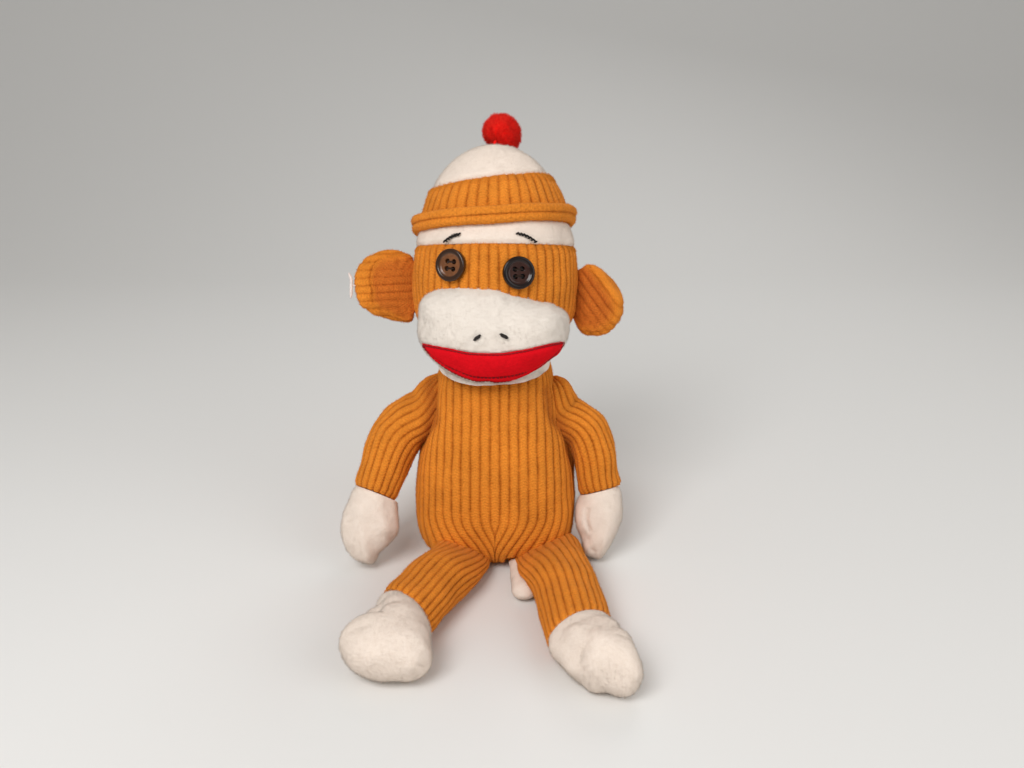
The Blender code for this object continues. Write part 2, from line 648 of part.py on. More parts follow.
def build_leg(side):
    """One leg and its foot, lying on the floor; side is 1 for the doll's left."""
    label = "left" if side > 0 else "right"
    flat, normal, ahead = hip_plane(side)
    pivot = flat + normal * (GAP + SEAM_RADIUS)
    out = LEFT_ANKLE_OUT if side > 0 else RIGHT_ANKLE_OUT
    front = LEFT_ANKLE_FRONT if side > 0 else RIGHT_ANKLE_FRONT
    height = LEG_THICKNESS / 2 - FLOOR_PRESS
    ankle = Vector((side * out, -front, height))
    reach = (ankle - pivot).length
    straight, knee, bulge = LEG_BEND_SHARES
    bend = pivot.lerp(ankle, knee) + ahead * reach * bulge
    path = smooth_path((pivot, pivot + ahead * reach * straight, bend, ankle), LEG_RINGS)
    along = np.linspace(0, 1, LEG_RINGS)
    ends = LEG_SEAM_WIDTH / 2 + (ANKLE_WIDTH - LEG_SEAM_WIDTH) / 2 * along
    half_wide = ends + (LEG_WIDTH / 2 - ends) * smooth(along, LEG_LENGTH_SHARES, LEG_WIDTH_SHARES)
    full = smooth(along, LEG_LENGTH_SHARES, LEG_THICKNESS_SHARES)
    half_tall = SEAM_RADIUS + (LEG_THICKNESS / 2 - SEAM_RADIUS) * full
    path[:, 2] = pivot.z + (height - pivot.z) * full
    path, half_wide, half_tall = seam_nose(path, ahead, half_wide, half_tall)
    heading = unit(np.gradient(path * (1, 1, 0), axis=0))
    wide = unit(np.cross(heading, (0.0, 0.0, 1.0)))
    tall = np.tile((0.0, 0.0, 1.0), (len(path), 1))
    rings = ring_points(path, wide, tall, half_wide, half_tall, LEG_SIDES)
    rings[:, :, 2] = np.maximum(rings[:, :, 2], 0)
    keep_place(new_object(label + "_leg", loft(rings), KNIT), pivot)

    way = Vector(heading[-1])
    across = Vector(wide[-1]) * (1 if wide[-1][0] * side > 0 else -1)
    roll = LEFT_TOE_ROLL if side > 0 else RIGHT_TOE_ROLL
    swing = LEFT_TOE_AZIMUTH if side > 0 else RIGHT_TOE_AZIMUTH
    level_toe = across * math.cos(swing) - way * math.sin(swing)
    toe = level_toe * math.cos(roll) + Vector((0, 0, math.sin(roll)))
    up = toe.cross(way).normalized()
    if up.z < 0:
        up = -up
    sole = up.cross(toe).normalized()
    if sole.dot(way) < 0:
        sole = -sole
    middle = ankle + way * FOOT_HEIGHT * FOOT_MIDDLE_SHARE
    neck_rise, neck_reach = (FOOT_HEIGHT * share for share in FOOT_NECK_SHARES)
    shift = LEFT_FOOT_SHIFT if side > 0 else RIGHT_FOOT_SHIFT
    heel_out = shift - FOOT_LENGTH * HEEL_SHARES[0]
    heel_drop, heel_reach = (FOOT_HEIGHT * share for share in HEEL_SHARES[1:])
    toe_out, toe_reach = shift + FOOT_LENGTH * TOE_SHARES[0], FOOT_LENGTH * TOE_SHARES[2]
    toe_drop, toe_half = FOOT_HEIGHT * TOE_SHARES[1], FOOT_HEIGHT * TOE_SHARES[3]
    lobes = [
        ((0, -neck_rise, 0), (ANKLE_WIDTH / 2, neck_reach, LEG_THICKNESS / 2)),
        ((heel_out, heel_drop, 0), (HEEL_RADIUS, heel_reach, FOOT_THICKNESS / 2)),
        ((toe_out, toe_drop, 0), (toe_reach, toe_half, FOOT_THICKNESS / 2)),
    ]
    data = lobed(middle, (toe, sole, up), lobes, FOOT_RINGS, LEG_SIDES)
    slice_off(data, ankle + way * GAP, -way)
    lowest = min(v.co.z for v in data.verts)
    bmesh.ops.translate(data, verts=data.verts, vec=(0, 0, -lowest - FLOOR_PRESS))
    slice_off(data, (0, 0, 0), (0, 0, -1))
    keep_place(new_object(label + "_foot", data, PLUSH), pivot)


def head_half(level, extra=0.0):
    """The head's half width and half depth at a level above the neck."""
    at = np.clip(np.asarray(level, float) / HEAD_HEIGHT, 0, 1)
    wide = smooth(at, HEAD_HEIGHT_SHARES, HEAD_WIDTH_SHARES) * HEAD_WIDTH / 2
    deep = smooth(at, HEAD_HEIGHT_SHARES, HEAD_DEPTH_SHARES) * HEAD_DEPTH / 2
    return wide + extra, deep + extra


def head_rings(levels, extra=0.0):
    wide, deep = head_half(levels, extra)
    levels = np.asarray(levels, float)
    centres = np.stack([0 * levels, 0 * levels, levels], axis=1)
    across = np.tile((1.0, 0.0, 0.0), (len(levels), 1))
    back = np.tile((0.0, 1.0, 0.0), (len(levels), 1))
    return ring_points(centres, across, back, wide, deep, HEAD_SIDES)


def head_surface(angle, level):
    """A point of the head's skin and its outward normal; angle 0 faces front, + to its left."""
    def point(a, w):
        wide, deep = head_half(w)
        return np.array([wide * math.sin(a), -deep * math.cos(a), w])

    step_angle, step_level = 0.01, HEAD_HEIGHT / 400
    round_way = point(angle + step_angle, level) - point(angle - step_angle, level)
    up_way = point(angle, level + step_level) - point(angle, level - step_level)
    return Vector(point(angle, level)), Vector(np.cross(round_way, up_way)).normalized()


def build_head(head):
    """The head's stacked bands and the hat, cut from one swelling form."""
    fine = np.array(HEAD_HEIGHT_SHARES) * HEAD_HEIGHT
    tilted = Vector((-math.sin(HAT_BAND_TILT), 0, math.cos(HAT_BAND_TILT)))
    flat = Vector((0, 0, 1))
    cuts = (
        ("head", None, (FACE_TOP, flat), KNIT),
        ("forehead_band", (FACE_TOP, flat), (FOREHEAD_TOP, flat), PLUSH),
        ("hat_band", (FOREHEAD_TOP, flat), (HAT_BAND_TOP, tilted), KNIT),
        ("hat_crown", (HAT_BAND_TOP, tilted), None, PLUSH),
    )
    for name, below, above, finish in cuts:
        low = 0 if below is None else below[0]
        high = HEAD_HEIGHT if above is None else above[0]
        margin = HEAD_WIDTH / 2 * math.tan(HAT_BAND_TILT)
        wanted = [w for w in fine if low - margin < w < high + margin]
        if below is not None:
            wanted = [low - margin - OVERRUN] + wanted
        if above is not None:
            wanted = wanted + [high + margin + OVERRUN]
        data = loft(head_rings(np.clip(wanted, 0, HEAD_HEIGHT)))
        if below is not None:
            slice_off(data, flat * (low + GAP), -below[1])
        if above is not None:
            slice_off(data, flat * high, above[1])
        piece = new_object(name, data, finish)
        piece.matrix_world = head.matrix_world
        hang_on(piece, head)


def build_brim(head):
    """The rolled cuff: an oval profile carried round the head."""
    turn = np.linspace(0, 2 * math.pi, BRIM_SIDES, endpoint=False)
    level = BRIM_LEVEL - np.sin(turn) * math.tan(BRIM_TILT) * HEAD_DEPTH / 2
    wide, deep = head_half(level - BRIM_HEIGHT / 2, GAP + BRIM_THICKNESS / 2)
    out = np.stack([np.cos(turn), np.sin(turn), 0 * turn], axis=1)
    centres = np.stack([wide * out[:, 0], deep * out[:, 1], level], axis=1)
    up = np.tile((0.0, 0.0, 1.0), (BRIM_SIDES, 1))
    half_thick = np.full(BRIM_SIDES, BRIM_THICKNESS / 2)
    half_tall = np.full(BRIM_SIDES, BRIM_HEIGHT / 2)
    rings = ring_points(centres, out, up, half_thick, half_tall, BRIM_PROFILE_SIDES, BRIM_PROFILE_POWER)
    piece = new_object("hat_brim", loft(rings, closed_round=True), KNIT)
    piece.matrix_world = head.matrix_world
    hang_on(piece, head)


def build_pompom(head):
    """A ball of yarn with tufts, on a tie whose round foot is the ball's pivot."""
    foot = Vector((0, 0, HEAD_HEIGHT + GAP + POMPOM_TIE_RADIUS))
    leaned = Matrix.Rotation(POMPOM_LEAN_SIDE, 3, "Y") @ Matrix.Rotation(-POMPOM_LEAN_BACK, 3, "X")
    side, back, axis = leaned.col
    middle = axis * (POMPOM_TIE_LENGTH + POMPOM_HEIGHT / 2)
    radii = (POMPOM_WIDTH / 2, POMPOM_WIDTH / 2, POMPOM_HEIGHT / 2)
    axes = (side, back, axis)
    data = lobed(middle, axes, [((0, 0, 0), radii)], POMPOM_RINGS, POMPOM_SIDES)
    for v in data.verts:
        away = v.co - middle
        round_wave = math.sin(POMPOM_TUFTS * math.atan2(away.y, away.x))
        tall_wave = math.sin(POMPOM_TUFTS * away.z / POMPOM_WIDTH)
        v.co = middle + away * (1 + POMPOM_TUFT_SHARE * round_wave * tall_wave)
    ball = new_object("pompom", data, RED_YARN)
    foot_radii = (POMPOM_TIE_RADIUS,) * 3
    stem_radii = (POMPOM_TIE_RADIUS, POMPOM_TIE_RADIUS, POMPOM_TIE_LENGTH + POMPOM_TIE_RADIUS)
    tie_lobes = [((0, 0, 0), foot_radii), ((0, 0, POMPOM_TIE_LENGTH), stem_radii)]
    tie = lobed((0, 0, 0), axes, tie_lobes, POMPOM_TIE_RINGS, POMPOM_TIE_SIDES)
    boolean(ball, new_object("pompom_tie", tie, RED_YARN), "UNION")
    ball.matrix_world = head.matrix_world @ Matrix.Translation(foot)
    hang_on(ball, head)


def muzzle_form(extra):
    """bmesh data of the muzzle's oval in the head's frame, grown by extra."""
    facing = Matrix.Rotation(MUZZLE_YAW, 3, "Z")
    middle = facing @ Vector((0, -MUZZLE_FORWARD, MUZZLE_LEVEL))
    axes = (facing.col[0], facing.col[1], facing.col[2])
    w, d, h = MUZZLE_WIDTH / 2 + extra, MUZZLE_DEPTH / 2 + extra, MUZZLE_HEIGHT / 2 + extra
    jaw, brow_rise, brow_wide, brow_deep, brow_tall = MUZZLE_LOBE_SHARES
    lobes = [
        ((0, 0, 0), (w, d, h * jaw)),
        ((0, 0, h * brow_rise), (w * brow_wide, d * brow_deep, h * brow_tall)),
    ]
    return lobed(middle, axes, lobes, MUZZLE_RINGS, MUZZLE_SIDES, MUZZLE_BLEND)


def head_solid(extra):
    """The whole head form as a cutter, grown by extra."""
    levels = np.array(HEAD_HEIGHT_SHARES) * HEAD_HEIGHT
    return new_object("head_form", loft(head_rings(levels, extra)), KNIT)


def chin_clearance():
    """A round solid about the head's axis that holds all the chest that the chin turns over."""
    turn = np.linspace(0, 2 * math.pi, HEAD_SIDES, endpoint=False)
    levels = np.array(CHIN_CLEAR_SHARES) * HEAD_HEIGHT
    radii = np.array(CHIN_CLEAR_RADIUS_SHARES) * HEAD_WIDTH / 2
    rings = [[(r * math.cos(a), r * math.sin(a), w) for a in turn] for r, w in zip(radii, levels)]
    return new_object("chin_clearance", loft(rings), KNIT)


def build_muzzle(head):
    muzzle = new_object("muzzle", muzzle_form(0), PLUSH)
    boolean(muzzle, chin_clearance())
    boolean(muzzle, head_solid(GAP))
    muzzle.matrix_world = head.matrix_world
    hang_on(muzzle, head)


def build_lips(head):
    """A crescent of fleece laid on the muzzle: its outline carried back, less the muzzle."""
    share = np.linspace(-1, 1, LIP_POINTS)
    half = LIP_WIDTH / 2
    upper = LIP_LEVEL - LIP_SAG * (1 - share**2)
    lower = LIP_LEVEL - LIP_HEIGHT * np.sqrt(1 - share**2) * (1 - LIP_FLAT_SHARE * share**2)
    lower = np.minimum(lower, upper - LIP_THICKNESS / 4)
    outline = [(x * half + LIP_SIDE, z) for x, z in zip(share, upper)]
    outline += [(x * half + LIP_SIDE, z) for x, z in zip(share[::-1], lower[::-1])]
    facing = Matrix.Rotation(MUZZLE_YAW, 3, "Z")
    near, far = -MUZZLE_FORWARD, -MUZZLE_FORWARD - MUZZLE_DEPTH
    rings = [[facing @ Vector((x, y, z)) for x, z in outline] for y in (near, far)]
    lips = new_object("lips", loft(rings), RED_FLEECE)
    boolean(lips, new_object("lips_outer", muzzle_form(GAP + LIP_THICKNESS), RED_FLEECE), "INTERSECT")
    boolean(lips, new_object("lips_inner", muzzle_form(GAP), RED_FLEECE))
    boolean(lips, head_solid(GAP))
    lips.matrix_world = head.matrix_world
    hang_on(lips, head)


def build_button(head, name, angle, level):
    """A button turned about its own Z and pierced by four holes, seated on the head's skin."""
    r, t = BUTTON_RADIUS, BUTTON_THICKNESS
    inside = r - BUTTON_RIM_WIDTH
    profile = (
        (r - BUTTON_EDGE, 0),
        (r, BUTTON_EDGE),
        (r, t - BUTTON_EDGE),
        (r - BUTTON_EDGE, t),
        (inside, t),
        (inside - BUTTON_DISH, t - BUTTON_DISH),
    )
    turn = np.linspace(0, 2 * math.pi, BUTTON_SIDES, endpoint=False)
    rings = [[(q * math.cos(a), q * math.sin(a), z) for a in turn] for q, z in profile]
    button = new_object(name, loft(rings), BUTTON, math.radians(30))
    for x in (-0.5, 0.5):
        for y in (-0.5, 0.5):
            bore = bmesh.new()
            bmesh.ops.create_cone(
                bore,
                cap_ends=True,
                segments=HOLE_SIDES,
                radius1=BUTTON_HOLE_RADIUS,
                radius2=BUTTON_HOLE_RADIUS,
                depth=2 * t + OVERRUN,
                matrix=Matrix.Translation((x * BUTTON_HOLE_SPACING, y * BUTTON_HOLE_SPACING, t / 2)),
            )
            boolean(button, new_object("bore", bore, BUTTON))
    place, normal = head_surface(angle + EYES_YAW, level)
    turned = normal.to_track_quat("Z", "Y").to_matrix().to_4x4()
    button.matrix_world = head.matrix_world @ Matrix.Translation(place + normal * GAP) @ turned
    hang_on(button, head)


def build_ear(head, side):
    """One ear: a thick disc, pinched at its seam, with a lining let into its front."""
    label = "left" if side > 0 else "right"
    level = LEFT_EAR_LEVEL if side > 0 else RIGHT_EAR_LEVEL
    droop = LEFT_EAR_DROOP if side > 0 else RIGHT_EAR_DROOP
    forward = LEFT_EAR_FORWARD if side > 0 else RIGHT_EAR_FORWARD
    place, normal = head_surface(side * math.pi / 2, level)
    pivot = place + normal * (GAP + SEAM_RADIUS)
    flat = math.cos(droop)
    out = Vector((side * math.cos(forward) * flat, -math.sin(forward) * flat, -math.sin(droop)))
    tall = Vector((0, 0, 1))
    front = tall.cross(out).normalized() * -side
    path = np.array(pivot) + np.outer(np.array(EAR_LENGTH_SHARES) * EAR_LENGTH, np.array(out))
    half_tall = np.array(EAR_HEIGHT_SHARES) * EAR_HEIGHT / 2
    swell = EAR_THICKNESS / 2 - SEAM_RADIUS
    half_thick = SEAM_RADIUS + swell * np.array(EAR_THICKNESS_SHARES)
    path, half_tall, half_thick = seam_nose(path, out, half_tall, half_thick)
    talls = np.tile(tuple(tall), (len(path), 1))
    fronts = np.tile(tuple(front), (len(path), 1))
    disc = loft(ring_points(path, talls, fronts, half_tall, half_thick, EAR_SIDES))
    ear = new_object(label + "_ear", disc, KNIT)

    sunk = LINING_THICKNESS * LINING_SUNK_SHARE
    middle = pivot + out * EAR_LENGTH * LINING_OUT_SHARE + front * (EAR_THICKNESS / 2 - sunk)
    wide = EAR_LENGTH * LINING_WIDTH_SHARE / 2
    high = EAR_HEIGHT * LINING_HEIGHT_SHARE / 2
    radii = (wide, high, LINING_THICKNESS / 2)
    recess_radii = tuple(r + GAP for r in radii)
    axes = (out, tall, front)
    recess = lobed(middle, axes, [((0, 0, 0), recess_radii)], LINING_RINGS, EAR_SIDES)
    boolean(ear, new_object("recess", recess, KNIT))
    pad = lobed(middle, axes, [((0, 0, 0), radii)], LINING_RINGS, EAR_SIDES)
    lining = new_object(label + "_ear_lining", pad, LINING)
    for piece in (ear, lining):
        keep_place(piece, pivot)
        piece.matrix_world = head.matrix_world @ Matrix.Translation(pivot)
        hang_on(piece, head)


def main():
    clear_scene()
    build_torso()
    build_tail()
    for side in (1, -1):
        build_arm(side)
        build_leg(side)
    head = empty("neck_pivot", neck_frame())
    build_head(head)
    build_brim(head)
    build_pompom(head)
    build_muzzle(head)
    build_lips(head)
    build_button(head, "left_eye_button", LEFT_EYE_ANGLE, LEFT_EYE_LEVEL)
    build_button(head, "right_eye_button", RIGHT_EYE_ANGLE, RIGHT_EYE_LEVEL)
    for side in (1, -1):
        build_ear(head, side)


main()
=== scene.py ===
"""Dresses the sock monkey doll: ribbed knit, plush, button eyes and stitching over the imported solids.

Every skin is a grid worked out with numpy from the doll's own sizes: rows run along a piece and
columns round it. On knitted pieces the columns follow the ribs, so each rib has the same number of
columns wherever it narrows or spreads. Lengths are in metres, the doll faces -Y and sits on the floor
at zero height, and left and right are its own: a side is 1 on its left and -1 on its right.
"""

import functools
import math

import bpy
import numpy as np
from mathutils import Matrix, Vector


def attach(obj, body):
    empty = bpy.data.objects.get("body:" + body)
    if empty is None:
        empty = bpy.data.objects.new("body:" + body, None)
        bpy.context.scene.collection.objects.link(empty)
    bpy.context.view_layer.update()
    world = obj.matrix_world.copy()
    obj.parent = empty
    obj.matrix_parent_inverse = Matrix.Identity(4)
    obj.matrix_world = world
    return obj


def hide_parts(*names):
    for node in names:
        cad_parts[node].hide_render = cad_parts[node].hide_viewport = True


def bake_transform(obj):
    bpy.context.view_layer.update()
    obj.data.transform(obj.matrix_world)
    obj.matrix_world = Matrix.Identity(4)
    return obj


bl_info = {
    "name": "Sock Monkey Doll",
    "version": (1, 0, 0),
    "blender": (4, 5, 0),
    "location": "View3D > Sidebar > Sock Monkey",
    "description": "Knit, plush, buttons and stitching of a seated sock monkey doll",
    "category": "Object",
}

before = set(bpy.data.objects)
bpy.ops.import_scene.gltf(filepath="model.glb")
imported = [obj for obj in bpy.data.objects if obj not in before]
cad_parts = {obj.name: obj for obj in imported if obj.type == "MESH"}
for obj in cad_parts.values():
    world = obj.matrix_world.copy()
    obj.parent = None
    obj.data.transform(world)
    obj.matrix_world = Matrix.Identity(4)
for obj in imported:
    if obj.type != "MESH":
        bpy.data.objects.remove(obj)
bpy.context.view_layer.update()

# The gap left at each seam, the columns to a rib, and the length of a knitted stitch
GAP = 0.0003
RIB_STEPS = 8
STITCH, FINE_STITCH = 0.0014, 0.0013

# Fibres in a square metre of cloth
FUZZ, EDGE_FUZZ = 1.7e6, 7.0e6
PILE, FULL_PILE = 3.2e6, 3.4e6

TORSO_WIDTH, TORSO_DEPTH, TORSO_HEIGHT = 0.0810, 0.0680, 0.1120
BELLY_HEIGHT = 0.0300
TORSO_LEAN = math.radians(7.5)
TORSO_STATIONS = (0.268, 0.40, 0.53, 0.64, 0.75, 0.83, 0.89, 0.94, 1.0)
TORSO_WIDTHS = (1.0, 0.972, 0.882, 0.797, 0.735, 0.680, 0.615, 0.530, 0.430)
TORSO_DEPTHS = (1.0, 0.975, 0.895, 0.818, 0.735, 0.655, 0.575, 0.510, 0.450)

NECK = np.array([0.0, 0.01356, 0.103])
NECK_LEAN = math.radians(14.0)
HEAD_WIDTH, HEAD_DEPTH, HEAD_HEIGHT = 0.0815, 0.0725, 0.0985
FACE_TOP, FOREHEAD_TOP, HAT_BAND_TOP = 0.0490, 0.0600, 0.0805
HAT_BAND_TILT = math.radians(7.0)
HEAD_STATIONS = (
    0.0, 0.035, 0.10, 0.20, 0.33, 0.43, 0.51, 0.59, 0.67, 0.75, 0.83, 0.895, 0.95, 0.985, 1.0,
)
HEAD_WIDTHS = (
    0.466, 0.70, 0.89, 0.98, 1.0, 0.985, 0.95, 0.90, 0.86, 0.79, 0.68, 0.54, 0.37, 0.20, 0.06,
)
HEAD_DEPTHS = (
    0.466, 0.70, 0.89, 0.98, 1.0, 0.99, 0.965, 0.92, 0.88, 0.81, 0.70, 0.555, 0.38, 0.205, 0.06,
)
EYES_YAW, MUZZLE_YAW = math.radians(-4.5), math.radians(-3.2)

MUZZLE_DEPTH, MUZZLE_LEVEL, MUZZLE_FORWARD = 0.0500, 0.0066, 0.0215
CHIN_LEVELS = (-0.36, -0.16, -0.08, 0.0, 0.035)
CHIN_RADII = (0.86, 0.78, 0.72, 0.63, 0.60)

# The buttons' holes are at plus and minus HOLE_OUT each way, and their thread is sewn along X
BUTTON_RADIUS, BUTTON_THICKNESS, HOLE_OUT = 0.0075, 0.0030, 0.0017

CAMERA_PLACE, CAMERA_PITCH, CAMERA_LENS = (0.0083, -0.416, 0.239), math.radians(70.0), 31.64


def smooth(at, stations, values):
    """A monotone cubic through values at stations."""
    at, x, y = (np.asarray(a, float) for a in (at, stations, values))
    step = np.diff(x)
    slope = np.diff(y) / step
    product, total = slope[:-1] * slope[1:], slope[:-1] + slope[1:]
    middle = np.where(product > 0, 2 * product / np.where(product > 0, total, 1), 0)
    tangent = np.concatenate([slope[:1], middle, slope[-1:]])
    i = np.clip(np.searchsorted(x, at, side="right") - 1, 0, len(x) - 2)
    t = np.clip((at - x[i]) / step[i], 0, 1)
    return (
        (1 + 2 * t) * (1 - t) ** 2 * y[i]
        + t * (1 - t) ** 2 * step[i] * tangent[i]
        + t**2 * (3 - 2 * t) * y[i + 1]
        - t**2 * (1 - t) * step[i] * tangent[i + 1]
    )


def smooth_path(points, count):
    """A path of count points through the given ones, eased by their running length."""
    points = np.array(points, float)
    along = np.concatenate([[0], np.cumsum(np.linalg.norm(np.diff(points, axis=0), axis=1))])
    along /= along[-1]
    at = np.linspace(0, 1, count)
    slopes = np.gradient(points, along, axis=0)
    i = np.clip(np.searchsorted(along, at, side="right") - 1, 0, len(points) - 2)
    step = (along[i + 1] - along[i])[:, None]
    t = ((at - along[i])[:, None]) / step
    return (
        (1 + 2 * t) * (1 - t) ** 2 * points[i]
        + t * (1 - t) ** 2 * step * slopes[i]
        + t**2 * (3 - 2 * t) * points[i + 1]
        - t**2 * (1 - t) * step * slopes[i + 1]
    )


def ease(value, low, high):
    """0 below low, 1 above high, and a smooth step between; low may be the greater."""
    t = np.clip((np.asarray(value, float) - low) / (high - low), 0, 1)
    return t * t * (3 - 2 * t)


def unit(vectors):
    vectors = np.asarray(vectors, float)
    return vectors / np.maximum(np.linalg.norm(vectors, axis=-1, keepdims=True), 1e-12)


def lumps(points, size, seed):
    """Smooth noise from about -1 to 1: a mean of 14 sine waves of about that size in many directions."""
    random = np.random.default_rng(seed)
    ways = unit(random.normal(size=(14, 3))) * random.uniform(0.7, 1.5, (14, 1)) * 2 * math.pi / size
    phase = random.uniform(0, 2 * math.pi, 14)
    return np.sin(points @ ways.T + phase).sum(-1) / 5.0


def tipped(angle):
    """A turn about X that leans an upright line back by the angle."""
    c, s = math.cos(angle), math.sin(angle)
    return np.array([[1, 0, 0], [0, c, s], [0, -s, c]])


def leaned(angle):
    """A turn about Y that leans an upright line towards +X by the angle."""
    c, s = math.cos(angle), math.sin(angle)
    return np.array([[c, 0, s], [0, 1, 0], [-s, 0, c]])


def yawed(angle):
    """A turn about the upright line by the angle."""
    c, s = math.cos(angle), math.sin(angle)
    return np.array([[c, -s, 0], [s, c, 0], [0, 0, 1]])


HEAD_TURN = tipped(NECK_LEAN)
MUZZLE_TURN = yawed(MUZZLE_YAW)
MUZZLE_MIDDLE = MUZZLE_TURN @ np.array([0, -MUZZLE_FORWARD, MUZZLE_LEVEL])


def rib_turns(ribs, steps=RIB_STEPS):
    """The columns round a tube: the ribs counted up to each, from the middle of one, and its angle."""
    count = np.arange(ribs * steps) / steps + 0.5
    return count, (count - 0.5) / ribs * 2 * math.pi


def rib_shape(count):
    """The height of a rib, 1 on its rounded top and 0 in the groove at each whole number of ribs."""
    part = count - np.floor(count)
    return 1 - np.abs(2 * part - 1) ** 3.2


def outward(points):
    """Unit normals of a grid that closes on itself column by column, turned away from its rows' middles."""
    across = np.roll(points, -1, axis=1) - np.roll(points, 1, axis=1)
    along = np.gradient(points, axis=0)
    normals = unit(np.cross(across, along))
    away = points - points.mean(axis=(0, 1))
    if (normals * away).sum() < 0:
        normals = -normals
    return normals


def push_off(points, place, normal, keep=0.0):
    """Moves the points that are beyond a plane back onto it, keep behind it."""
    depth = (points - np.asarray(place)) @ np.asarray(normal, float) + keep
    return points - np.maximum(depth, 0)[..., None] * np.asarray(normal, float)


def to_doll(points):
    """From the head's own frame, at the neck, to the doll's."""
    return np.asarray(points) @ HEAD_TURN.T + NECK


def lobed(ways, lobes, blend=9.0):
    """Ellipsoids run together: along each way, the smooth maximum of where the lobes end."""
    reach = np.zeros(ways.shape[:-1])
    scale = max(max(radii) for _, radii in lobes)
    for centre, radii in lobes:
        start = -np.array(centre, float) / radii
        slope = ways / radii
        a, b, c = (slope**2).sum(-1), slope @ start, start @ start - 1
        reach += ((-b + np.sqrt(b * b - a * c)) / a / scale) ** blend
    return ways * (scale * reach ** (1 / blend))[..., None]


def ball_ways(rows, columns):
    """Directions over a ball, row by row from its third axis to the opposite pole."""
    tilt = np.linspace(0, math.pi, rows + 2)[1:-1][:, None]
    turn = np.linspace(0, 2 * math.pi, columns, endpoint=False)[None, :]
    return np.stack(
        [np.sin(tilt) * np.cos(turn), np.sin(tilt) * np.sin(turn), np.cos(tilt) + 0 * turn], axis=-1
    )


def rings(path, wide_axes, tall_axes, half_wide, half_tall, turn):
    """Ovals carried along a path; turn gives each column's angle."""
    c, s = np.cos(turn)[None, :, None], np.sin(turn)[None, :, None]
    half_wide, half_tall = np.asarray(half_wide)[:, None, None], np.asarray(half_tall)[:, None, None]
    wide_axes, tall_axes = np.asarray(wide_axes)[:, None, :], np.asarray(tall_axes)[:, None, :]
    return path[:, None, :] + half_wide * c * wide_axes + half_tall * s * tall_axes


def put(name, points, faces, material, body):
    """A smooth-shaded mesh object made from points and faces.

    body is the body that it rides on; given as two bodies and the points of a sewn seam between them, the mesh
    is only baked in place and rides on neither.
    """
    mesh = bpy.data.meshes.new(name)
    mesh.from_pydata(np.asarray(points, float).tolist(), [], faces)
    mesh.shade_smooth()
    mesh.materials.append(material)
    made = bpy.data.objects.new(name, mesh)
    bpy.context.scene.collection.objects.link(made)
    if isinstance(body, tuple):
        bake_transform(made)
    elif body:
        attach(made, body)
    return made


def grid_index(points, wrap_rows=False, wrap_columns=False):
    """The number of each point of a grid, with the first row or column again where it closes round."""
    index = np.arange(points.shape[0] * points.shape[1]).reshape(points.shape[:2])
    return np.pad(index, ((0, int(wrap_rows)), (0, int(wrap_columns))), mode="wrap")


def cells(field):
    """A grid's values at the four corners of each of its cells, in order round the cell."""
    corners = (field[:-1, :-1], field[:-1, 1:], field[1:, 1:], field[1:, :-1])
    return np.stack([corner.reshape(-1, *field.shape[2:]) for corner in corners], axis=1)


def keep_field(made, label, values):
    """Keeps one number for each point of a mesh as an attribute."""
    field = made.data.attributes.new(label, "FLOAT", "POINT")
    field.data.foreach_set("value", values.astype(np.float32))


def keep_map(made, corners):
    """Keeps the knit's map, given for each corner of each face, as a UV map."""
    layer = made.data.uv_layers.new(name="knit")
    layer.data.foreach_set("uv", corners.ravel().astype(np.float32))


def put_grid(name, points, material, body, rib=None, knit_map=None, tint=None):
    """A closed skin over a grid: columns join round, and a point closes each end.

    rib and tint are kept as attributes, and knit_map, given for one column more than the grid has, as
    the UV map that counts ribs across and stitches along.
    """
    columns, first = points.shape[1], points.shape[0] * points.shape[1]
    index = grid_index(points, wrap_columns=True)
    starts = np.stack([index[0, 1:], index[0, :-1], np.full(columns, first)], axis=1)
    ends = np.stack([index[-1, :-1], index[-1, 1:], np.full(columns, first + 1)], axis=1)
    flat = np.concatenate([points.reshape(-1, 3), [points[0].mean(0), points[-1].mean(0)]])
    across = np.roll(points, -1, axis=1) - points
    along = np.gradient(points, axis=0)
    away = points - points.mean(axis=(0, 1))
    order = -1 if (np.cross(across, along) * away).sum() < 0 else 1
    faces = [face for part in (cells(index), starts, ends) for face in part[:, ::order].tolist()]
    made = put(name, flat, faces, material, body)
    for label, field in (("rib", rib), ("tint", tint)):
        if field is not None:
            keep_field(
                made, label, np.concatenate([field.ravel(), [field[0].mean(), field[-1].mean()]])
            )
    if knit_map is not None:
        start_map = np.stack([knit_map[0, 1:], knit_map[0, :-1], knit_map[0, :-1]], axis=1)
        end_map = np.stack([knit_map[-1, :-1], knit_map[-1, 1:], knit_map[-1, :-1]], axis=1)
        parts = (cells(knit_map), start_map, end_map)
        keep_map(made, np.concatenate([part[:, ::order].reshape(-1, 2) for part in parts]))
    return made


def stitch_map(points, count, stitch):
    """Ribs across and stitches along, the stitches being a middle column's length over one stitch."""
    middle = points[:, points.shape[1] // 2]
    along = np.concatenate([[0], np.cumsum(np.linalg.norm(np.diff(middle, axis=0), axis=1))]) / stitch
    if count.ndim == 1:
        count = np.broadcast_to(count, (len(points), len(count)))
    closing = count[:, -1:] + (count[:, -1:] - count[:, -2:-1])
    across = np.concatenate([count, closing], axis=1)
    return np.stack([across, np.broadcast_to(along[:, None], across.shape)], axis=-1)


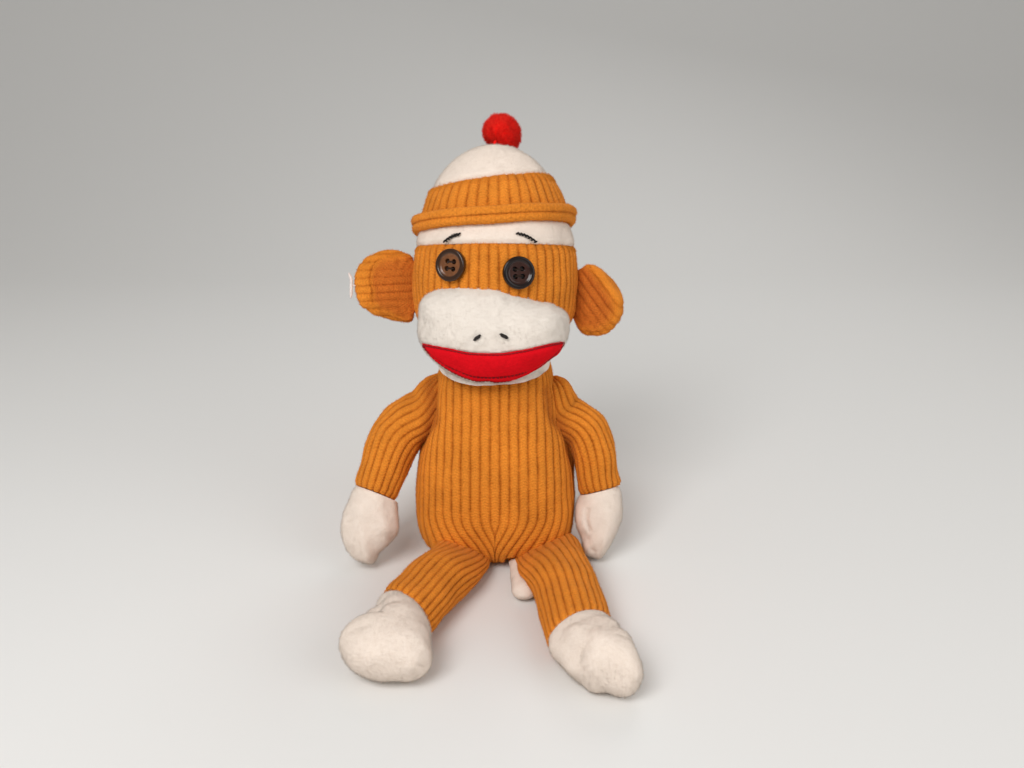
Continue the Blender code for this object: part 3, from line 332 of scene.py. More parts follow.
def pile(
    name, points, material, body, per_area, length, seed, radius=0.00008, comb=(0, 0, -0.35), keep=None
):
    """Fibres over a grid: four-faced spikes set at random by area, leaning with the comb and to all sides.

    Their shading normals are the skin's own, so that they soften it and don't sparkle.
    """
    random = np.random.default_rng(seed)
    normals = outward(points)
    closed = np.concatenate([points, points[:, :1]], axis=1)
    closed_normals = np.concatenate([normals, normals[:, :1]], axis=1)
    side_a, side_b = closed[:-1, 1:] - closed[:-1, :-1], closed[1:, :-1] - closed[:-1, :-1]
    area = np.linalg.norm(np.cross(side_a, side_b), axis=-1)
    if keep is not None:
        area = area * keep[:-1]
    total = np.cumsum(area.ravel())
    number = int(total[-1] * per_area)
    pick = np.searchsorted(total, random.uniform(0, total[-1], number))
    i, j = np.unravel_index(np.minimum(pick, area.size - 1), area.shape)
    s, t = random.uniform(0, 1, (2, number, 1))

    def between(field):
        return (
            field[i, j] * (1 - s) * (1 - t)
            + field[i, j + 1] * s * (1 - t)
            + field[i + 1, j] * (1 - s) * t
            + field[i + 1, j + 1] * s * t
        )

    foot, up = between(closed), unit(between(closed_normals))
    way = unit(up + np.array(comb) + random.normal(0, 0.38, (number, 3)))
    reach = length * random.uniform(0.45, 1.15, (number, 1))
    side = unit(np.cross(way, random.normal(size=(number, 3))))
    other = np.cross(way, side)
    turn = np.arange(3) * 2 * math.pi / 3
    base = (foot - up * radius * 2)[:, None] + radius * (
        np.cos(turn)[None, :, None] * side[:, None] + np.sin(turn)[None, :, None] * other[:, None]
    )
    tip = foot + way * reach
    tip[:, 2] = np.maximum(tip[:, 2], 0.0001)
    flat = np.concatenate([base, tip[:, None]], axis=1).reshape(-1, 3)
    spike = np.array([[0, 1, 3], [1, 2, 3], [2, 0, 3], [0, 2, 1]])
    faces = (np.arange(number)[:, None, None] * 4 + spike).reshape(-1, 3)
    made = put(name, flat, faces.tolist(), material, body)
    shaded = unit(np.repeat(up, 4, axis=0) + np.repeat(way, 4, axis=0) * 0.25)
    made.data.normals_split_custom_set_from_vertices(shaded.tolist())
    return made


def thread(name, paths, radius, material, body, sides=8):
    """Threads: a round tube along each path, its ends drawn in to points."""
    points, faces = [], []
    for path in paths:
        path = np.asarray(path, float)
        ahead = unit(np.gradient(path, axis=0))
        side = unit(np.cross(ahead, np.array([0.31, 0.2, 0.93])))
        other = np.cross(ahead, side)
        turn = np.linspace(0, 2 * math.pi, sides, endpoint=False)
        swell = np.sqrt(np.clip(1 - np.linspace(-1, 1, len(path)) ** 6, 0.12, 1)) * radius
        tube = rings(path, side, other, swell, swell, turn)
        index = grid_index(tube, wrap_columns=True) + sum(len(p) for p in points)
        faces += cells(index).tolist() + [index[0, -2::-1].tolist(), index[-1, :-1].tolist()]
        points.append(tube.reshape(-1, 3))
    return put(name, np.concatenate(points), faces, material, body)


class Nodes:
    """A material's node tree, with each new node placed to the right of the last one."""

    def __init__(self, name):
        self.material = bpy.data.materials.new(name)
        self.material.use_nodes = True
        self.tree = self.material.node_tree
        self.shader = self.tree.nodes["Principled BSDF"]
        self.place = -1400

    def add(self, kind, **values):
        node = self.tree.nodes.new(kind)
        node.location = (self.place, 0)
        self.place += 60
        for key, value in values.items():
            setattr(node, key, value)
        return node

    def here(self):
        return self.add("ShaderNodeTexCoord").outputs["Object"]

    def field(self, label):
        return self.add("ShaderNodeAttribute", attribute_name=label).outputs["Fac"]

    def feed(self, socket, value):
        if isinstance(value, bpy.types.NodeSocket):
            self.tree.links.new(value, socket)
        else:
            socket.default_value = value

    def math(self, operation, *values):
        node = self.add("ShaderNodeMath", operation=operation)
        for socket, value in zip(node.inputs, values):
            self.feed(socket, value)
        return node.outputs[0]

    def spread(self, value, low, high, out_low, out_high):
        node = self.add("ShaderNodeMapRange")
        for socket, number in zip(node.inputs, (value, low, high, out_low, out_high)):
            self.feed(socket, number)
        return node.outputs[0]

    def noise(self, where, scale, detail, roughness):
        node = self.add("ShaderNodeTexNoise")
        self.feed(node.inputs["Vector"], where)
        for label, value in (("Scale", scale), ("Detail", detail), ("Roughness", roughness)):
            node.inputs[label].default_value = value
        return node.outputs["Fac"]

    def mix(self, share, first, second):
        node = self.add("ShaderNodeMix", data_type="RGBA")
        self.feed(node.inputs["Factor"], share)
        for socket, value in ((node.inputs[6], first), (node.inputs[7], second)):
            self.feed(socket, value if isinstance(value, bpy.types.NodeSocket) else (*value[:3], 1))
        return node.outputs[2]

    def scale_colour(self, colour, amount):
        node = self.add("ShaderNodeVectorMath", operation="SCALE")
        self.feed(node.inputs[0], colour)
        self.feed(node.inputs["Scale"], amount)
        return node.outputs[0]

    def bump(self, height, distance, strength):
        node = self.add("ShaderNodeBump")
        node.inputs["Distance"].default_value = distance
        node.inputs["Strength"].default_value = strength
        self.feed(node.inputs["Height"], height)
        self.feed(self.shader.inputs["Normal"], node.outputs[0])

    def finish(self, colour, roughness, sheen=0.0, sheen_tint=(1, 1, 1), coat=0.0, specular=0.08):
        self.feed(self.shader.inputs["Base Color"], colour)
        self.shader.inputs["Specular IOR Level"].default_value = specular
        self.shader.inputs["Roughness"].default_value = roughness
        self.shader.inputs["Sheen Weight"].default_value = sheen
        self.shader.inputs["Sheen Roughness"].default_value = 0.45
        self.shader.inputs["Sheen Tint"].default_value = (*sheen_tint, 1)
        self.shader.inputs["Coat Weight"].default_value = coat
        self.shader.inputs["Coat Roughness"].default_value = 0.08
        return self.material


def once(make):
    """Wraps a function that makes a material, so that one of each name is made."""

    @functools.wraps(make)
    def found_or_made(name, *values, **named):
        return bpy.data.materials.get(name) or make(name, *values, **named)

    return found_or_made


@once
def knit_finish(name, ridge, groove, other):
    """Rib knit: rust in the grooves and gold on the ribs, the grooves' rust being partly the yarn's own colour
    and partly painted shade in the hollows between ribs; V stitches up each rib, specks and slow mottling.

    Where the tint attribute is 1, the colour is the other one.
    """
    n = Nodes(name)
    place = n.here()
    rib = n.field("rib")
    where = n.add("ShaderNodeSeparateXYZ")
    n.feed(where.inputs[0], n.add("ShaderNodeUVMap", uv_map="knit").outputs[0])
    across = n.math("FRACT", where.outputs[0])
    off_top = n.math("MULTIPLY", n.math("ABSOLUTE", n.math("SUBTRACT", across, 0.5)), 2.0)
    course = n.math("ADD", where.outputs[1], n.math("MULTIPLY", off_top, 0.7))
    stitch = n.math("SINE", n.math("MULTIPLY", course, 2 * math.pi))
    speck = n.noise(place, 1500.0, 2.0, 0.7)
    fuzz = n.noise(place, 520.0, 3.0, 0.65)
    mottle = n.noise(place, 55.0, 2.0, 0.5)
    # Noise lightens the grooves here and there, easing their painted shade at random
    groove_lightening = n.spread(n.noise(place, 110.0, 2.0, 0.6), 0.35, 0.65, 0.0, 0.42)
    faint = n.math("MULTIPLY", n.math("SUBTRACT", 1.0, rib), groove_lightening)
    depth = n.math("ADD", n.math("ADD", rib, faint), n.spread(fuzz, 0.3, 0.7, -0.16, 0.16))
    colour = n.mix(n.spread(depth, 0.05, 0.95, 0.0, 1.0), groove, ridge)
    colour = n.mix(n.field("tint"), colour, other)
    slow, quick = n.spread(mottle, 0.3, 0.7, 0.90, 1.08), n.spread(speck, 0.3, 0.7, 0.86, 1.14)
    shade = n.math("MULTIPLY", slow, quick)
    shade = n.math("MULTIPLY", shade, n.spread(stitch, -1.0, 1.0, 0.95, 1.04))
    height = n.math("ADD", n.math("MULTIPLY", stitch, 0.25), n.math("ADD", speck, fuzz))
    n.bump(height, 0.00035, 0.8)
    return n.finish(n.scale_colour(colour, shade), 0.95, 0.08, (1.0, 0.78, 0.5))


@once
def plush_finish(name, light, shade_colour, scale=1.0, sheen=0.08):
    """Short plush: two close tones in small tufts, with a fine pile in the bump."""
    n = Nodes(name)
    place = n.here()
    tuft = n.noise(place, 420.0 * scale, 3.0, 0.65)
    nap = n.noise(place, 1700.0 * scale, 2.0, 0.7)
    slow = n.noise(place, 60.0, 2.0, 0.5)
    both = n.math("ADD", n.math("MULTIPLY", tuft, 0.4), n.math("MULTIPLY", nap, 0.6))
    colour = n.mix(n.spread(both, 0.36, 0.6, 0.0, 1.0), shade_colour, light)
    n.bump(n.math("ADD", n.math("MULTIPLY", tuft, 0.5), n.math("MULTIPLY", nap, 0.8)), 0.00024, 0.4)
    return n.finish(n.scale_colour(colour, n.spread(slow, 0.3, 0.7, 0.96, 1.02)), 1.0, sheen, light)


@once
def fibre_finish(name, light, dark):
    """Loose fibres: one colour that drifts between two tones from place to place."""
    n = Nodes(name)
    place = n.here()
    tone = n.noise(place, 900.0, 2.0, 0.7)
    return n.finish(n.mix(n.spread(tone, 0.35, 0.65, 0.0, 1.0), dark, light), 1.0, 0.04, light)


@once
def plain_finish(name, colour, roughness, grain):
    """A plain finish with a little unevenness of tone and surface."""
    n = Nodes(name)
    place = n.here()
    tone = n.noise(place, grain, 3.0, 0.6)
    n.bump(tone, 0.00005, 0.5)
    low = tuple(c * 0.82 for c in colour[:3])
    shade = n.mix(n.spread(tone, 0.35, 0.65, 0.0, 1.0), low, colour[:3])
    return n.finish(shade, roughness, specular=0.2)


def settings():
    return bpy.context.scene.sock_monkey


def brown_knit():
    s = settings()
    # The brown knit's other colour, a darker rust, is painted shade; the tint lays it in the creases under the
    # arms
    crease_shade = tuple(np.array(s.lining_colour[:]) * 0.75)
    return knit_finish("brown_rib_knit_crease_shaded", s.ridge_colour[:], s.groove_colour[:], crease_shade)


def rust_knit():
    s = settings()
    lining, groove = s.lining_colour[:], s.lining_groove_colour[:]
    return knit_finish("rust_rib_knit_worn", lining, groove, s.ridge_colour[:])


def ivory():
    s = settings()
    return plush_finish("ivory_plush_piled", s.plush_colour[:], s.plush_shade[:])


def muzzle_colours():
    """The muzzle's plush is a little cooler and brighter than the rest."""
    s = settings()
    light = tuple(np.array(s.plush_colour[:]) * (0.95, 1.0, 1.03))
    return light, tuple(np.array(s.plush_shade[:]) * (0.96, 1.02, 1.06))


def ivory_fibre():
    s = settings()
    return fibre_finish("ivory_pile", s.plush_colour[:], s.plush_shade[:])


def brown_fibre():
    s = settings()
    light = tuple(min(1.0, c * 1.15) for c in s.ridge_colour)
    return fibre_finish("brown_fuzz", light, s.ridge_colour[:])


def dress(piece, node):
    """Hides the imported solid that a stuffed piece stands for."""
    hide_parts(node)


def knitted(name, points, body, node, rib, knit_map, tint=None):
    """A brown knitted skin that stands for one node."""
    dress(put_grid(name, points, brown_knit(), body, rib, knit_map, tint), node)


def plush(name, points, body, node):
    """A skin of white plush that stands for one node."""
    dress(put_grid(name, points, ivory(), body), node)


def fuzz(name, points, body, seed, per_area=FUZZ, longer=1.0, **rest):
    """The loose fibres of the brown knit."""
    pile(name, points, brown_fibre(), body, per_area, settings().fuzz_length * longer, seed, **rest)


def plush_pile(name, points, body, seed, per_area=PILE, longer=1.0, **rest):
    """The pile of the white plush."""
    pile(name, points, ivory_fibre(), body, per_area, settings().pile_length * longer, seed, **rest)


def torso_back(height):
    return math.tan(TORSO_LEAN) * np.asarray(height, float)


def torso_halves(height):
    """The torso's half width, half depth and plan power at each height."""
    height = np.asarray(height, float)
    left = np.clip(1 - (height + 0.0005) / (BELLY_HEIGHT + 0.0005), 0, 1)
    low = (1 - left**4) ** 0.25
    at = np.maximum(height, BELLY_HEIGHT) / TORSO_HEIGHT
    stations = (BELLY_HEIGHT / TORSO_HEIGHT, *TORSO_STATIONS[1:])
    is_low = height <= BELLY_HEIGHT
    wide = np.where(is_low, low, smooth(at, stations, TORSO_WIDTHS)) * TORSO_WIDTH / 2
    deep = np.where(is_low, low, smooth(at, stations, TORSO_DEPTHS)) * TORSO_DEPTH / 2
    power = 3.2 - 1.0 * np.sqrt(np.clip(height / NECK[2], 0, 1))
    return wide, deep, power


def shoulder_plane(side):
    """A point on the side's shoulder flat and the flat's outward normal."""
    out, height = (0.0302, 0.0785) if side > 0 else (0.0290, 0.0830)
    tilt = math.radians(15.0)
    point = np.array([side * out, torso_back(height) + 0.0005, height])
    return point, np.array([side * math.cos(tilt), 0, math.sin(tilt)])


def hip_plane(side):
    """The middle of the side's hip flat, its normal, and the level way that the leg leaves it."""
    out, azimuth = (0.0288, math.radians(8.0)) if side > 0 else (0.0160, math.radians(16.0))
    height, sunk, drop = 0.0108, 0.0012, math.radians(25.0)
    wide, deep, power = torso_halves(height)
    front = torso_back(height) - deep * (1 - (out / wide) ** power) ** (1 / power)
    ahead = np.array([side * math.sin(azimuth), -math.cos(azimuth), 0])
    normal = ahead * math.cos(drop) - np.array([0, 0, math.sin(drop)])
    return np.array([side * out, front, height]) - normal * sunk, normal, ahead


def tail_path(count):
    """The tail's line, half widths and half thicknesses from its root to its tip.

    Over the last fifth, the widths follow the cosine of a quarter turn, which rounds the tip off.
    """
    root_height, width, thickness = 0.020, 0.0095, 0.0090
    root_back = torso_back(root_height) + torso_halves(root_height)[1] + GAP + 0.009 * 0.35 / 2
    back = root_back + 0.0045
    corners = (
        (0, root_back, root_height),
        (0.00106, back, 0.0124),
        (0.00371, back - 0.0072, 0.00495),
        (0.00848, 0.0136, 0.0022),
        (0.0106, -0.0136, 0.0022),
        (0.0122, -0.03536, 0.00400),
        (0.0143, -0.0590, 0.0045),
    )
    path = smooth_path(corners, count)
    share = np.linspace(0, 1, count)
    rounded, rounded_reach = 0.8, 0.055
    end = np.maximum(share - rounded, 0) / 0.2 * math.pi / 2
    along = np.minimum(share / rounded, 1) * 0.945 + rounded_reach * np.sin(end)
    path = np.stack([np.interp(along, share, path[:, k]) for k in range(3)], axis=1)
    flats = (0.35, 0.90, 0.49, 0.49, 0.85, 1.0, 1.0)
    flat = smooth(along, (0.0, 0.15, 0.32, 0.60, 0.75, 0.85, 1.0), flats)
    wide = smooth(along, (0.0, 0.15, 0.32, 0.60, 0.85, 1.0), (0.80, 1.0, 1.10, 1.05, 1.10, 1.30))
    tip = np.maximum(np.cos(end), 0.01)
    wide, flat = wide * tip, flat * tip
    return path, wide * width / 2, flat * thickness / 2


def torso_rows():
    """The rows' heights, how far each is shrunk towards the seat's middle, and their outlines' sizes."""
    disc = np.linspace(0.05, 1, 9)[:-1]
    low = (1 - np.cos(np.linspace(0, math.pi / 2, 30))) * BELLY_HEIGHT
    high = np.linspace(BELLY_HEIGHT, TORSO_HEIGHT, 88)[1:]
    heights = np.concatenate([0 * disc, low, high])
    shrink = np.concatenate([disc, np.ones(len(heights) - len(disc))])
    wide, deep, power = torso_halves(heights)
    return heights, (wide * shrink)[:, None], (deep * shrink)[:, None], power[:, None]


def torso_outline(turn, wide, deep, power):
    """The points of a superellipse at each turn from the front."""
    s, c = np.sin(turn), np.cos(turn)
    reach = (np.abs(s / wide) ** power + np.abs(c / deep) ** power) ** (-1 / power)
    return reach * s, -reach * c


def drawn_to_dart(at, height, half_ribs):
    """Where a rib, at a share of the way round from the front, runs once the dart has drawn it in."""
    dart_ribs, dart_top, pull_top, bend = 2.6, 0.0275, 0.034, 0.18
    taken = dart_ribs * ease(height, dart_top, 0.0) ** 0.9 / half_ribs
    drawn = 0.5 * (at - taken + np.sqrt((at - taken) ** 2 + (bend * taken) ** 2))
    drawn = drawn - 0.5 * (-taken + math.hypot(taken, bend * taken))
    squeeze = 1 - 0.38 * ease(height, pull_top, 0.004) * np.exp(-((at / 0.20) ** 2))
    return drawn * squeeze + (at - drawn * squeeze) * ease(at, 0.16, 0.46)


def torso_skin(ridge, pitch):
    """The torso: superellipses stacked up a leaning line, with ribs of equal pitch down the front.

    A column follows one rib. At each height the ribs keep their pitch in front and behind, and those
    that the narrower chest has no room for are gathered at the sides, under the arms. Low in front
    the middle ones run into a dart one after the other, and the rest are drawn towards it.
    """
    heights, wide, deep, power = torso_rows()
    angle = np.linspace(0, math.pi, 241)
    line = np.stack(torso_outline(angle[None, :], wide, deep, power), axis=-1)
    runs = np.cumsum(np.linalg.norm(np.diff(line, axis=1), axis=-1), axis=1)
    length = np.concatenate([np.zeros((len(heights), 1)), runs], axis=1)
    half_ribs = int(round(length[:, -1].max() / pitch))
    count = np.arange(-half_ribs * RIB_STEPS, half_ribs * RIB_STEPS) / RIB_STEPS + 0.5
    share = np.linspace(0, 1, 301)
    gather = ease(share, 0.30, 0.66)
    offset = np.abs(count - 0.5)
    turned = []
    for height, row_length in zip(heights, length):
        fits = min(half_ribs, row_length[-1] / pitch)
        at = np.interp(offset, fits * share + (half_ribs - fits) * gather, share)
        at = drawn_to_dart(at, height, half_ribs)
        turned.append(np.interp(at, row_length / row_length[-1], angle))
    turned = np.array(turned) * np.sign(count - 0.5 + 1e-9)
    wave = np.stack([turned * 4, heights[:, None] * 60 + 0 * turned, 0 * turned], -1)
    turned = turned + 0.010 * lumps(wave, 5.0, 3) + 0.004 * lumps(wave, 1.3, 4)
    x, y = torso_outline(turned, wide, deep, power)
    points = np.stack([x, torso_back(heights)[:, None] + y, heights[:, None] + 0 * x], axis=-1)
    rib = np.broadcast_to(rib_shape(count), x.shape)
    normals = outward(points)
    lift = ridge * (rib * ease(heights, 0.0, 0.004)[:, None] - 0.7) + 0.0004 * lumps(points, 0.022, 5)
    crease = np.maximum(*(near_line(points, line, 0.0032) for line in ARMPITS.values()))
    points = points + normals * (lift - 0.0009 * crease)[..., None]
    points = shape_torso(points)
    # Along the armpit creases the rib is lowered towards the groove colour, and the crease goes back as the
    # tint: painted shade in the creases
    return points, rib * (1 - 0.6 * crease), stitch_map(points, count, STITCH), crease


# The creases under the arms, in millimetres; the knit is also painted darker along them, as shade


ARMPITS = {
    1: ((25.7, -3, 84.8), (27.3, -6, 72.8), (34.8, -2, 62.4), (37.5, -2, 50.8), (39.8, -2, 37.6)),
    -1: ((-32.5, 5, 87.4), (-29.7, -5, 70.5), (-36, 0, 57.6)),
}


def away_from(points, line):
    """The distance of each point from a line of straight runs, whose corners are in millimetres."""
    line = np.array(line, float) / 1000
    away = np.full(points.shape[:-1], 1.0)
    for start, end in zip(line[:-1], line[1:]):
        way = end - start
        t = np.clip((points - start) @ way / (way @ way), 0, 1)
        away = np.minimum(away, np.linalg.norm(points - start - t[..., None] * way, axis=-1))
    return away


def near_line(points, line, width):
    """1 on the line, and less with the square of the distance over the width."""
    return np.exp(-((away_from(points, line) / width) ** 2))


def creased(points, line, depth, width):
    """Draws the skin in along a line, by depth on the line itself."""
    return points - outward(points) * (depth * near_line(points, line, width))[..., None]


def shape_torso(points):
    """Flattens the skin where the neck is sewn, and lifts it over the tail that it sits on."""
    points = push_off(points, NECK, HEAD_TURN[:, 2], GAP)
    path, wide, tall = (part[16:] for part in tail_path(90))
    x, y, z = points[..., 0], points[..., 1], points[..., 2]
    order = np.argsort(path[:, 1])
    along_y = path[:, 1][order]
    middle = np.interp(y, along_y, path[:, 0][order])
    half = np.interp(y, along_y, wide[order]) + GAP + 0.0018
    top = np.interp(y, along_y, (path[:, 2] + tall)[order]) + GAP
    off = np.clip(np.abs(x - middle) / half, 0, 1)
    lifted = top * (1 - off**6) ** (1 / 6)
    points[..., 2] = np.maximum(np.maximum(z, lifted * (y < along_y[-1])), 0)
    return points


def head_halves(level):
    at = np.clip(np.asarray(level, float) / HEAD_HEIGHT, 0, 1)
    return (
        smooth(at, HEAD_STATIONS, HEAD_WIDTHS) * HEAD_WIDTH / 2,
        smooth(at, HEAD_STATIONS, HEAD_DEPTHS) * HEAD_DEPTH / 2,
    )


def head_grid(levels, turn):
    """The head's skin in its own frame: an oval at each level; turn 0 faces front, + to its left."""
    wide, deep = head_halves(levels)
    return np.stack([wide * np.sin(turn), -deep * np.cos(turn), levels + 0 * turn], axis=-1)


def on_head(angle, level, lift):
    """Points lift above the head's skin, in the doll's frame, and the skin's normals there."""
    angle, level = np.broadcast_arrays(np.asarray(angle, float), np.asarray(level, float))
    step = 0.0004
    here = head_grid(level, angle)
    normal = unit(
        np.cross(
            head_grid(level, angle + 0.01) - head_grid(level, angle - 0.01),
            head_grid(level + step, angle) - head_grid(level - step, angle),
        )
    )
    return to_doll(here + normal * np.asarray(lift)[..., None]), normal @ HEAD_TURN.T


def band_skin(low, high, rows, ribs, bulge, tuck, ridge=0.0, seed=1):
    """A band of the head between two levels: it swells by bulge and is drawn in by tuck at both seams.

    low and high are levels, or functions of the turn that give them. Rows at each end run on inwards
    under the neighbouring bands.
    """
    count, turn = rib_turns(ribs)
    turn = turn - math.pi
    share = np.linspace(0, 1, rows)[:, None]
    bottom = low(turn) if callable(low) else np.full(len(turn), low)
    top = high(turn) if callable(high) else np.full(len(turn), high)
    levels = bottom + (top - bottom) * share
    slow = np.stack([np.cos(turn) + 0 * levels, np.sin(turn) + 0 * levels, levels * 40], axis=-1)
    turn = turn + 0.014 * lumps(slow, 1.4, seed + 40) * (ridge > 0)
    points = head_grid(levels, turn)
    rib = np.broadcast_to(rib_shape(count), levels.shape)
    width = (top - bottom)[None, :]
    edge = np.minimum(share, 1 - share) * width
    swell = bulge * (1 - (2 * share - 1) ** 4) - tuck * np.exp(-((edge / 0.0013) ** 2))
    lift = swell + ridge * (rib - 0.7) + 0.0003 * lumps(points, 0.016, seed)
    points = points + outward(points) * lift[..., None]
    inwards = np.array([0.86, 0.86, 1.0])
    points = np.concatenate([points[:1] * inwards, points, points[-1:] * inwards])
    rib = np.concatenate([rib[:1], rib, rib[-1:]])
    return to_doll(points), rib, count


def hat_edge(turn):
    """The tilted level where the hat's band meets its crown."""
    level = np.full(np.shape(turn), HAT_BAND_TOP)
    for _ in range(3):
        level = HAT_BAND_TOP + head_halves(level)[0] * np.sin(turn) * math.tan(HAT_BAND_TILT)
    return level


def cuff_level(turn):
    """The level of the hat's cuff round the head: higher in front, with a slight roll to one side."""
    middle, tilt = 0.0587, math.radians(5.0)
    level = middle + np.cos(turn) * math.tan(tilt) * HEAD_DEPTH / 2
    return level + 0.0024 * np.sin(turn) + 0.0025 * np.sin(turn) ** 2


def band_foot(turn):
    """Where the hat's band ends under the cuff."""
    return np.minimum(FOREHEAD_TOP, cuff_level(turn) - 0.0004)


def forehead_end(turn):
    """The forehead's plush runs a little way in under the band."""
    return band_foot(turn) + 0.001


def outline_reach(angle, outline):
    """How far an outline reaches at each angle; its values are at equal angles round."""
    count = len(outline)
    stations = np.arange(-count, 2 * count) * 2 * math.pi / count
    return smooth(angle % (2 * math.pi), stations, np.tile(np.array(outline) / 1000, 3))


def stuffed(ways, outline, half_thick, puff=2.3, lobes=(), blend=9.0):
    """A flat bag, stuffed: its outline in the plane of the first two axes, its thickness along the third.

    Along a way, the surface is where the sum of the powers of its two shares, of the outline and of the
    half thickness, is one. Ellipsoids given as lobes are run together with it.
    """
    angle = np.arctan2(ways[..., 1], ways[..., 0])
    level = np.hypot(ways[..., 0], ways[..., 1]) / outline_reach(angle, outline)
    own = (level**puff + (np.abs(ways[..., 2]) / half_thick) ** puff) ** (-1 / puff)
    if not lobes:
        return ways * own[..., None]
    other = np.linalg.norm(lobed(ways, list(lobes), blend), axis=-1)
    return ways * ((own**blend + other**blend) ** (1 / blend))[..., None]


# How far the muzzle reaches at equal angles round its middle, in millimetres
MUZZLE_OUTLINE = (
    36.0, 37.0, 33.2, 27.2, 24.4, 23.8, 24.3, 24.8, 26.0, 27.6, 30.2, 34.2, 37.2, 35.9,
    35.1, 32.8, 29.4, 26.8, 24.9, 24.2, 23.4, 23.1, 23.2, 23.4, 24.0, 25.3, 28.5, 33.0,
)


def muzzle_points(ways):
    """The muzzle in its facing frame: a bag whose outline is seen from the front, a cushion deep."""
    turned = stuffed(ways[..., [0, 2, 1]], MUZZLE_OUTLINE, MUZZLE_DEPTH / 2)
    return turned[..., [0, 2, 1]]


def from_muzzle(points):
    """From the muzzle's facing frame to the doll's."""
    return to_doll(points @ MUZZLE_TURN.T + MUZZLE_MIDDLE)


def on_muzzle(x, level, lift):
    """Points on the muzzle's front at x and a level above the neck, and their normals."""
    x, z = np.broadcast_arrays(np.asarray(x, float), np.asarray(level, float) - MUZZLE_LEVEL)
    held = 0.975 * outline_reach(np.arctan2(z, x), MUZZLE_OUTLINE) / np.maximum(np.hypot(x, z), 1e-9)
    x, z = x * np.minimum(held, 1), z * np.minimum(held, 1)
    near, far = np.zeros(x.shape), np.full(x.shape, MUZZLE_DEPTH)
    for _ in range(24):
        middle = (near + far) / 2
        spot = np.stack([x, -middle, z], axis=-1)
        inside = np.linalg.norm(spot, axis=-1) < np.linalg.norm(muzzle_points(unit(spot)), axis=-1)
        near, far = np.where(inside, middle, near), np.where(inside, far, middle)
    spot = np.stack([x, -near, z], axis=-1)
    way = unit(spot)
    a = unit(np.cross(way, np.array([0.0, 0.0, 1.0])))
    b = np.cross(way, a)
    step = 0.02
    da = muzzle_points(unit(way + a * step)) - muzzle_points(unit(way - a * step))
    db = muzzle_points(unit(way + b * step)) - muzzle_points(unit(way - b * step))
    normal = unit(np.cross(da, db))
    normal = normal * np.sign((normal * way).sum(-1, keepdims=True))
    turned = normal @ MUZZLE_TURN.T @ HEAD_TURN.T
    return from_muzzle(spot + normal * np.asarray(lift)[..., None]), turned


class SockMonkeySettings(bpy.types.PropertyGroup):
    """Sizes and colours of the doll's cloth and of the stage."""

    rib_pitch: bpy.props.FloatProperty(
        name="Rib pitch",
        description="Distance from rib to rib on the body",
        default=0.0047, unit="LENGTH",
    )
    ridge_height: bpy.props.FloatProperty(
        name="Rib height",
        description="Height of a rib above its grooves",
        default=0.0009, unit="LENGTH",
    )
    pile_length: bpy.props.FloatProperty(
        name="Pile length",
        description="Length of the white plush's pile",
        default=0.0010, unit="LENGTH",
    )
    fuzz_length: bpy.props.FloatProperty(
        name="Fuzz length",
        description="Length of the loose fibres on the knit",
        default=0.0009, unit="LENGTH",
    )
    ridge_colour: bpy.props.FloatVectorProperty(
        name="Rib colour",
        description="Top of the brown ribs",
        default=(0.76, 0.248, 0.028), subtype="COLOR",
    )
    # The groove colour is partly painted shade in the hollows between ribs
    groove_colour: bpy.props.FloatVectorProperty(
        name="Groove colour",
        description="Between the brown ribs",
        default=(0.40, 0.100, 0.009), subtype="COLOR",
    )
    lining_colour: bpy.props.FloatVectorProperty(
        name="Lining colour",
        description="Ribs inside the ears",
        default=(0.60, 0.162, 0.023), subtype="COLOR",
    )
    # The lining's groove colour is partly painted shade in the hollows between ribs
    lining_groove_colour: bpy.props.FloatVectorProperty(
        name="Lining groove colour",
        description="Grooves inside the ears",
        default=(0.36, 0.078, 0.010), subtype="COLOR",
    )
    plush_colour: bpy.props.FloatVectorProperty(
        name="Plush colour",
        description="Lit tips of the plush",
        default=(0.885, 0.762, 0.662), subtype="COLOR",
    )
    plush_shade: bpy.props.FloatVectorProperty(
        name="Plush shade",
        description="Between the tufts of the plush",
        default=(0.84, 0.712, 0.605), subtype="COLOR",
    )
    red_colour: bpy.props.FloatVectorProperty(
        name="Red",
        description="Lips and pompom",
        default=(0.74, 0.005, 0.012), subtype="COLOR",
    )
    button_colour: bpy.props.FloatVectorProperty(
        name="Button colour",
        description="Left eye",
        default=(0.030, 0.0085, 0.0050), subtype="COLOR",
    )
    worn_button_colour: bpy.props.FloatVectorProperty(
        name="Worn button colour",
        description="Right eye",
        default=(0.150, 0.055, 0.019), subtype="COLOR",
    )
    floor_colour: bpy.props.FloatVectorProperty(
        name="Floor colour",
        description="Floor and backdrop",
        default=(0.80, 0.79, 0.77), subtype="COLOR",
    )
    key_power: bpy.props.FloatProperty(
        name="Key lamp",
        description="Power of the large lamp, in watts",
        default=5.15, min=0.0,
    )


class SOCKMONKEY_OT_torso(bpy.types.Operator):
    """Dress the torso in rib knit, with gathers under the arms and a dart low in front"""

    bl_idname = "sock_monkey.torso"
    bl_label = "Torso"

    def execute(self, context):
        s = settings()
        points, rib, knit, fold = torso_skin(s.ridge_height, s.rib_pitch)
        # The fold, as tint, mixes in the darker rust: painted shade in the creases under the arms
        knitted("torso_skin", points, "torso", "torso", rib, knit, 0.7 * fold)
        keep = (points[:, :, 2] > 0.002) * 1.0
        fuzz("torso_fuzz", points, "torso", 11, comb=(0, 0, -0.2), keep=keep)
        wide, deep, _ = torso_halves(NECK[2])
        plug = ball_ways(24, 96) * np.array([float(wide) * 0.86, float(deep) * 0.86, 0.0045])
        shade = np.full(plug.shape[:2], 0.25)
        put_grid(
            "neck_gather", to_doll(plug), brown_knit(), "torso", shade,
            stitch_map(plug, np.arange(96) * 0.5, STITCH),
        )
        return {"FINISHED"}


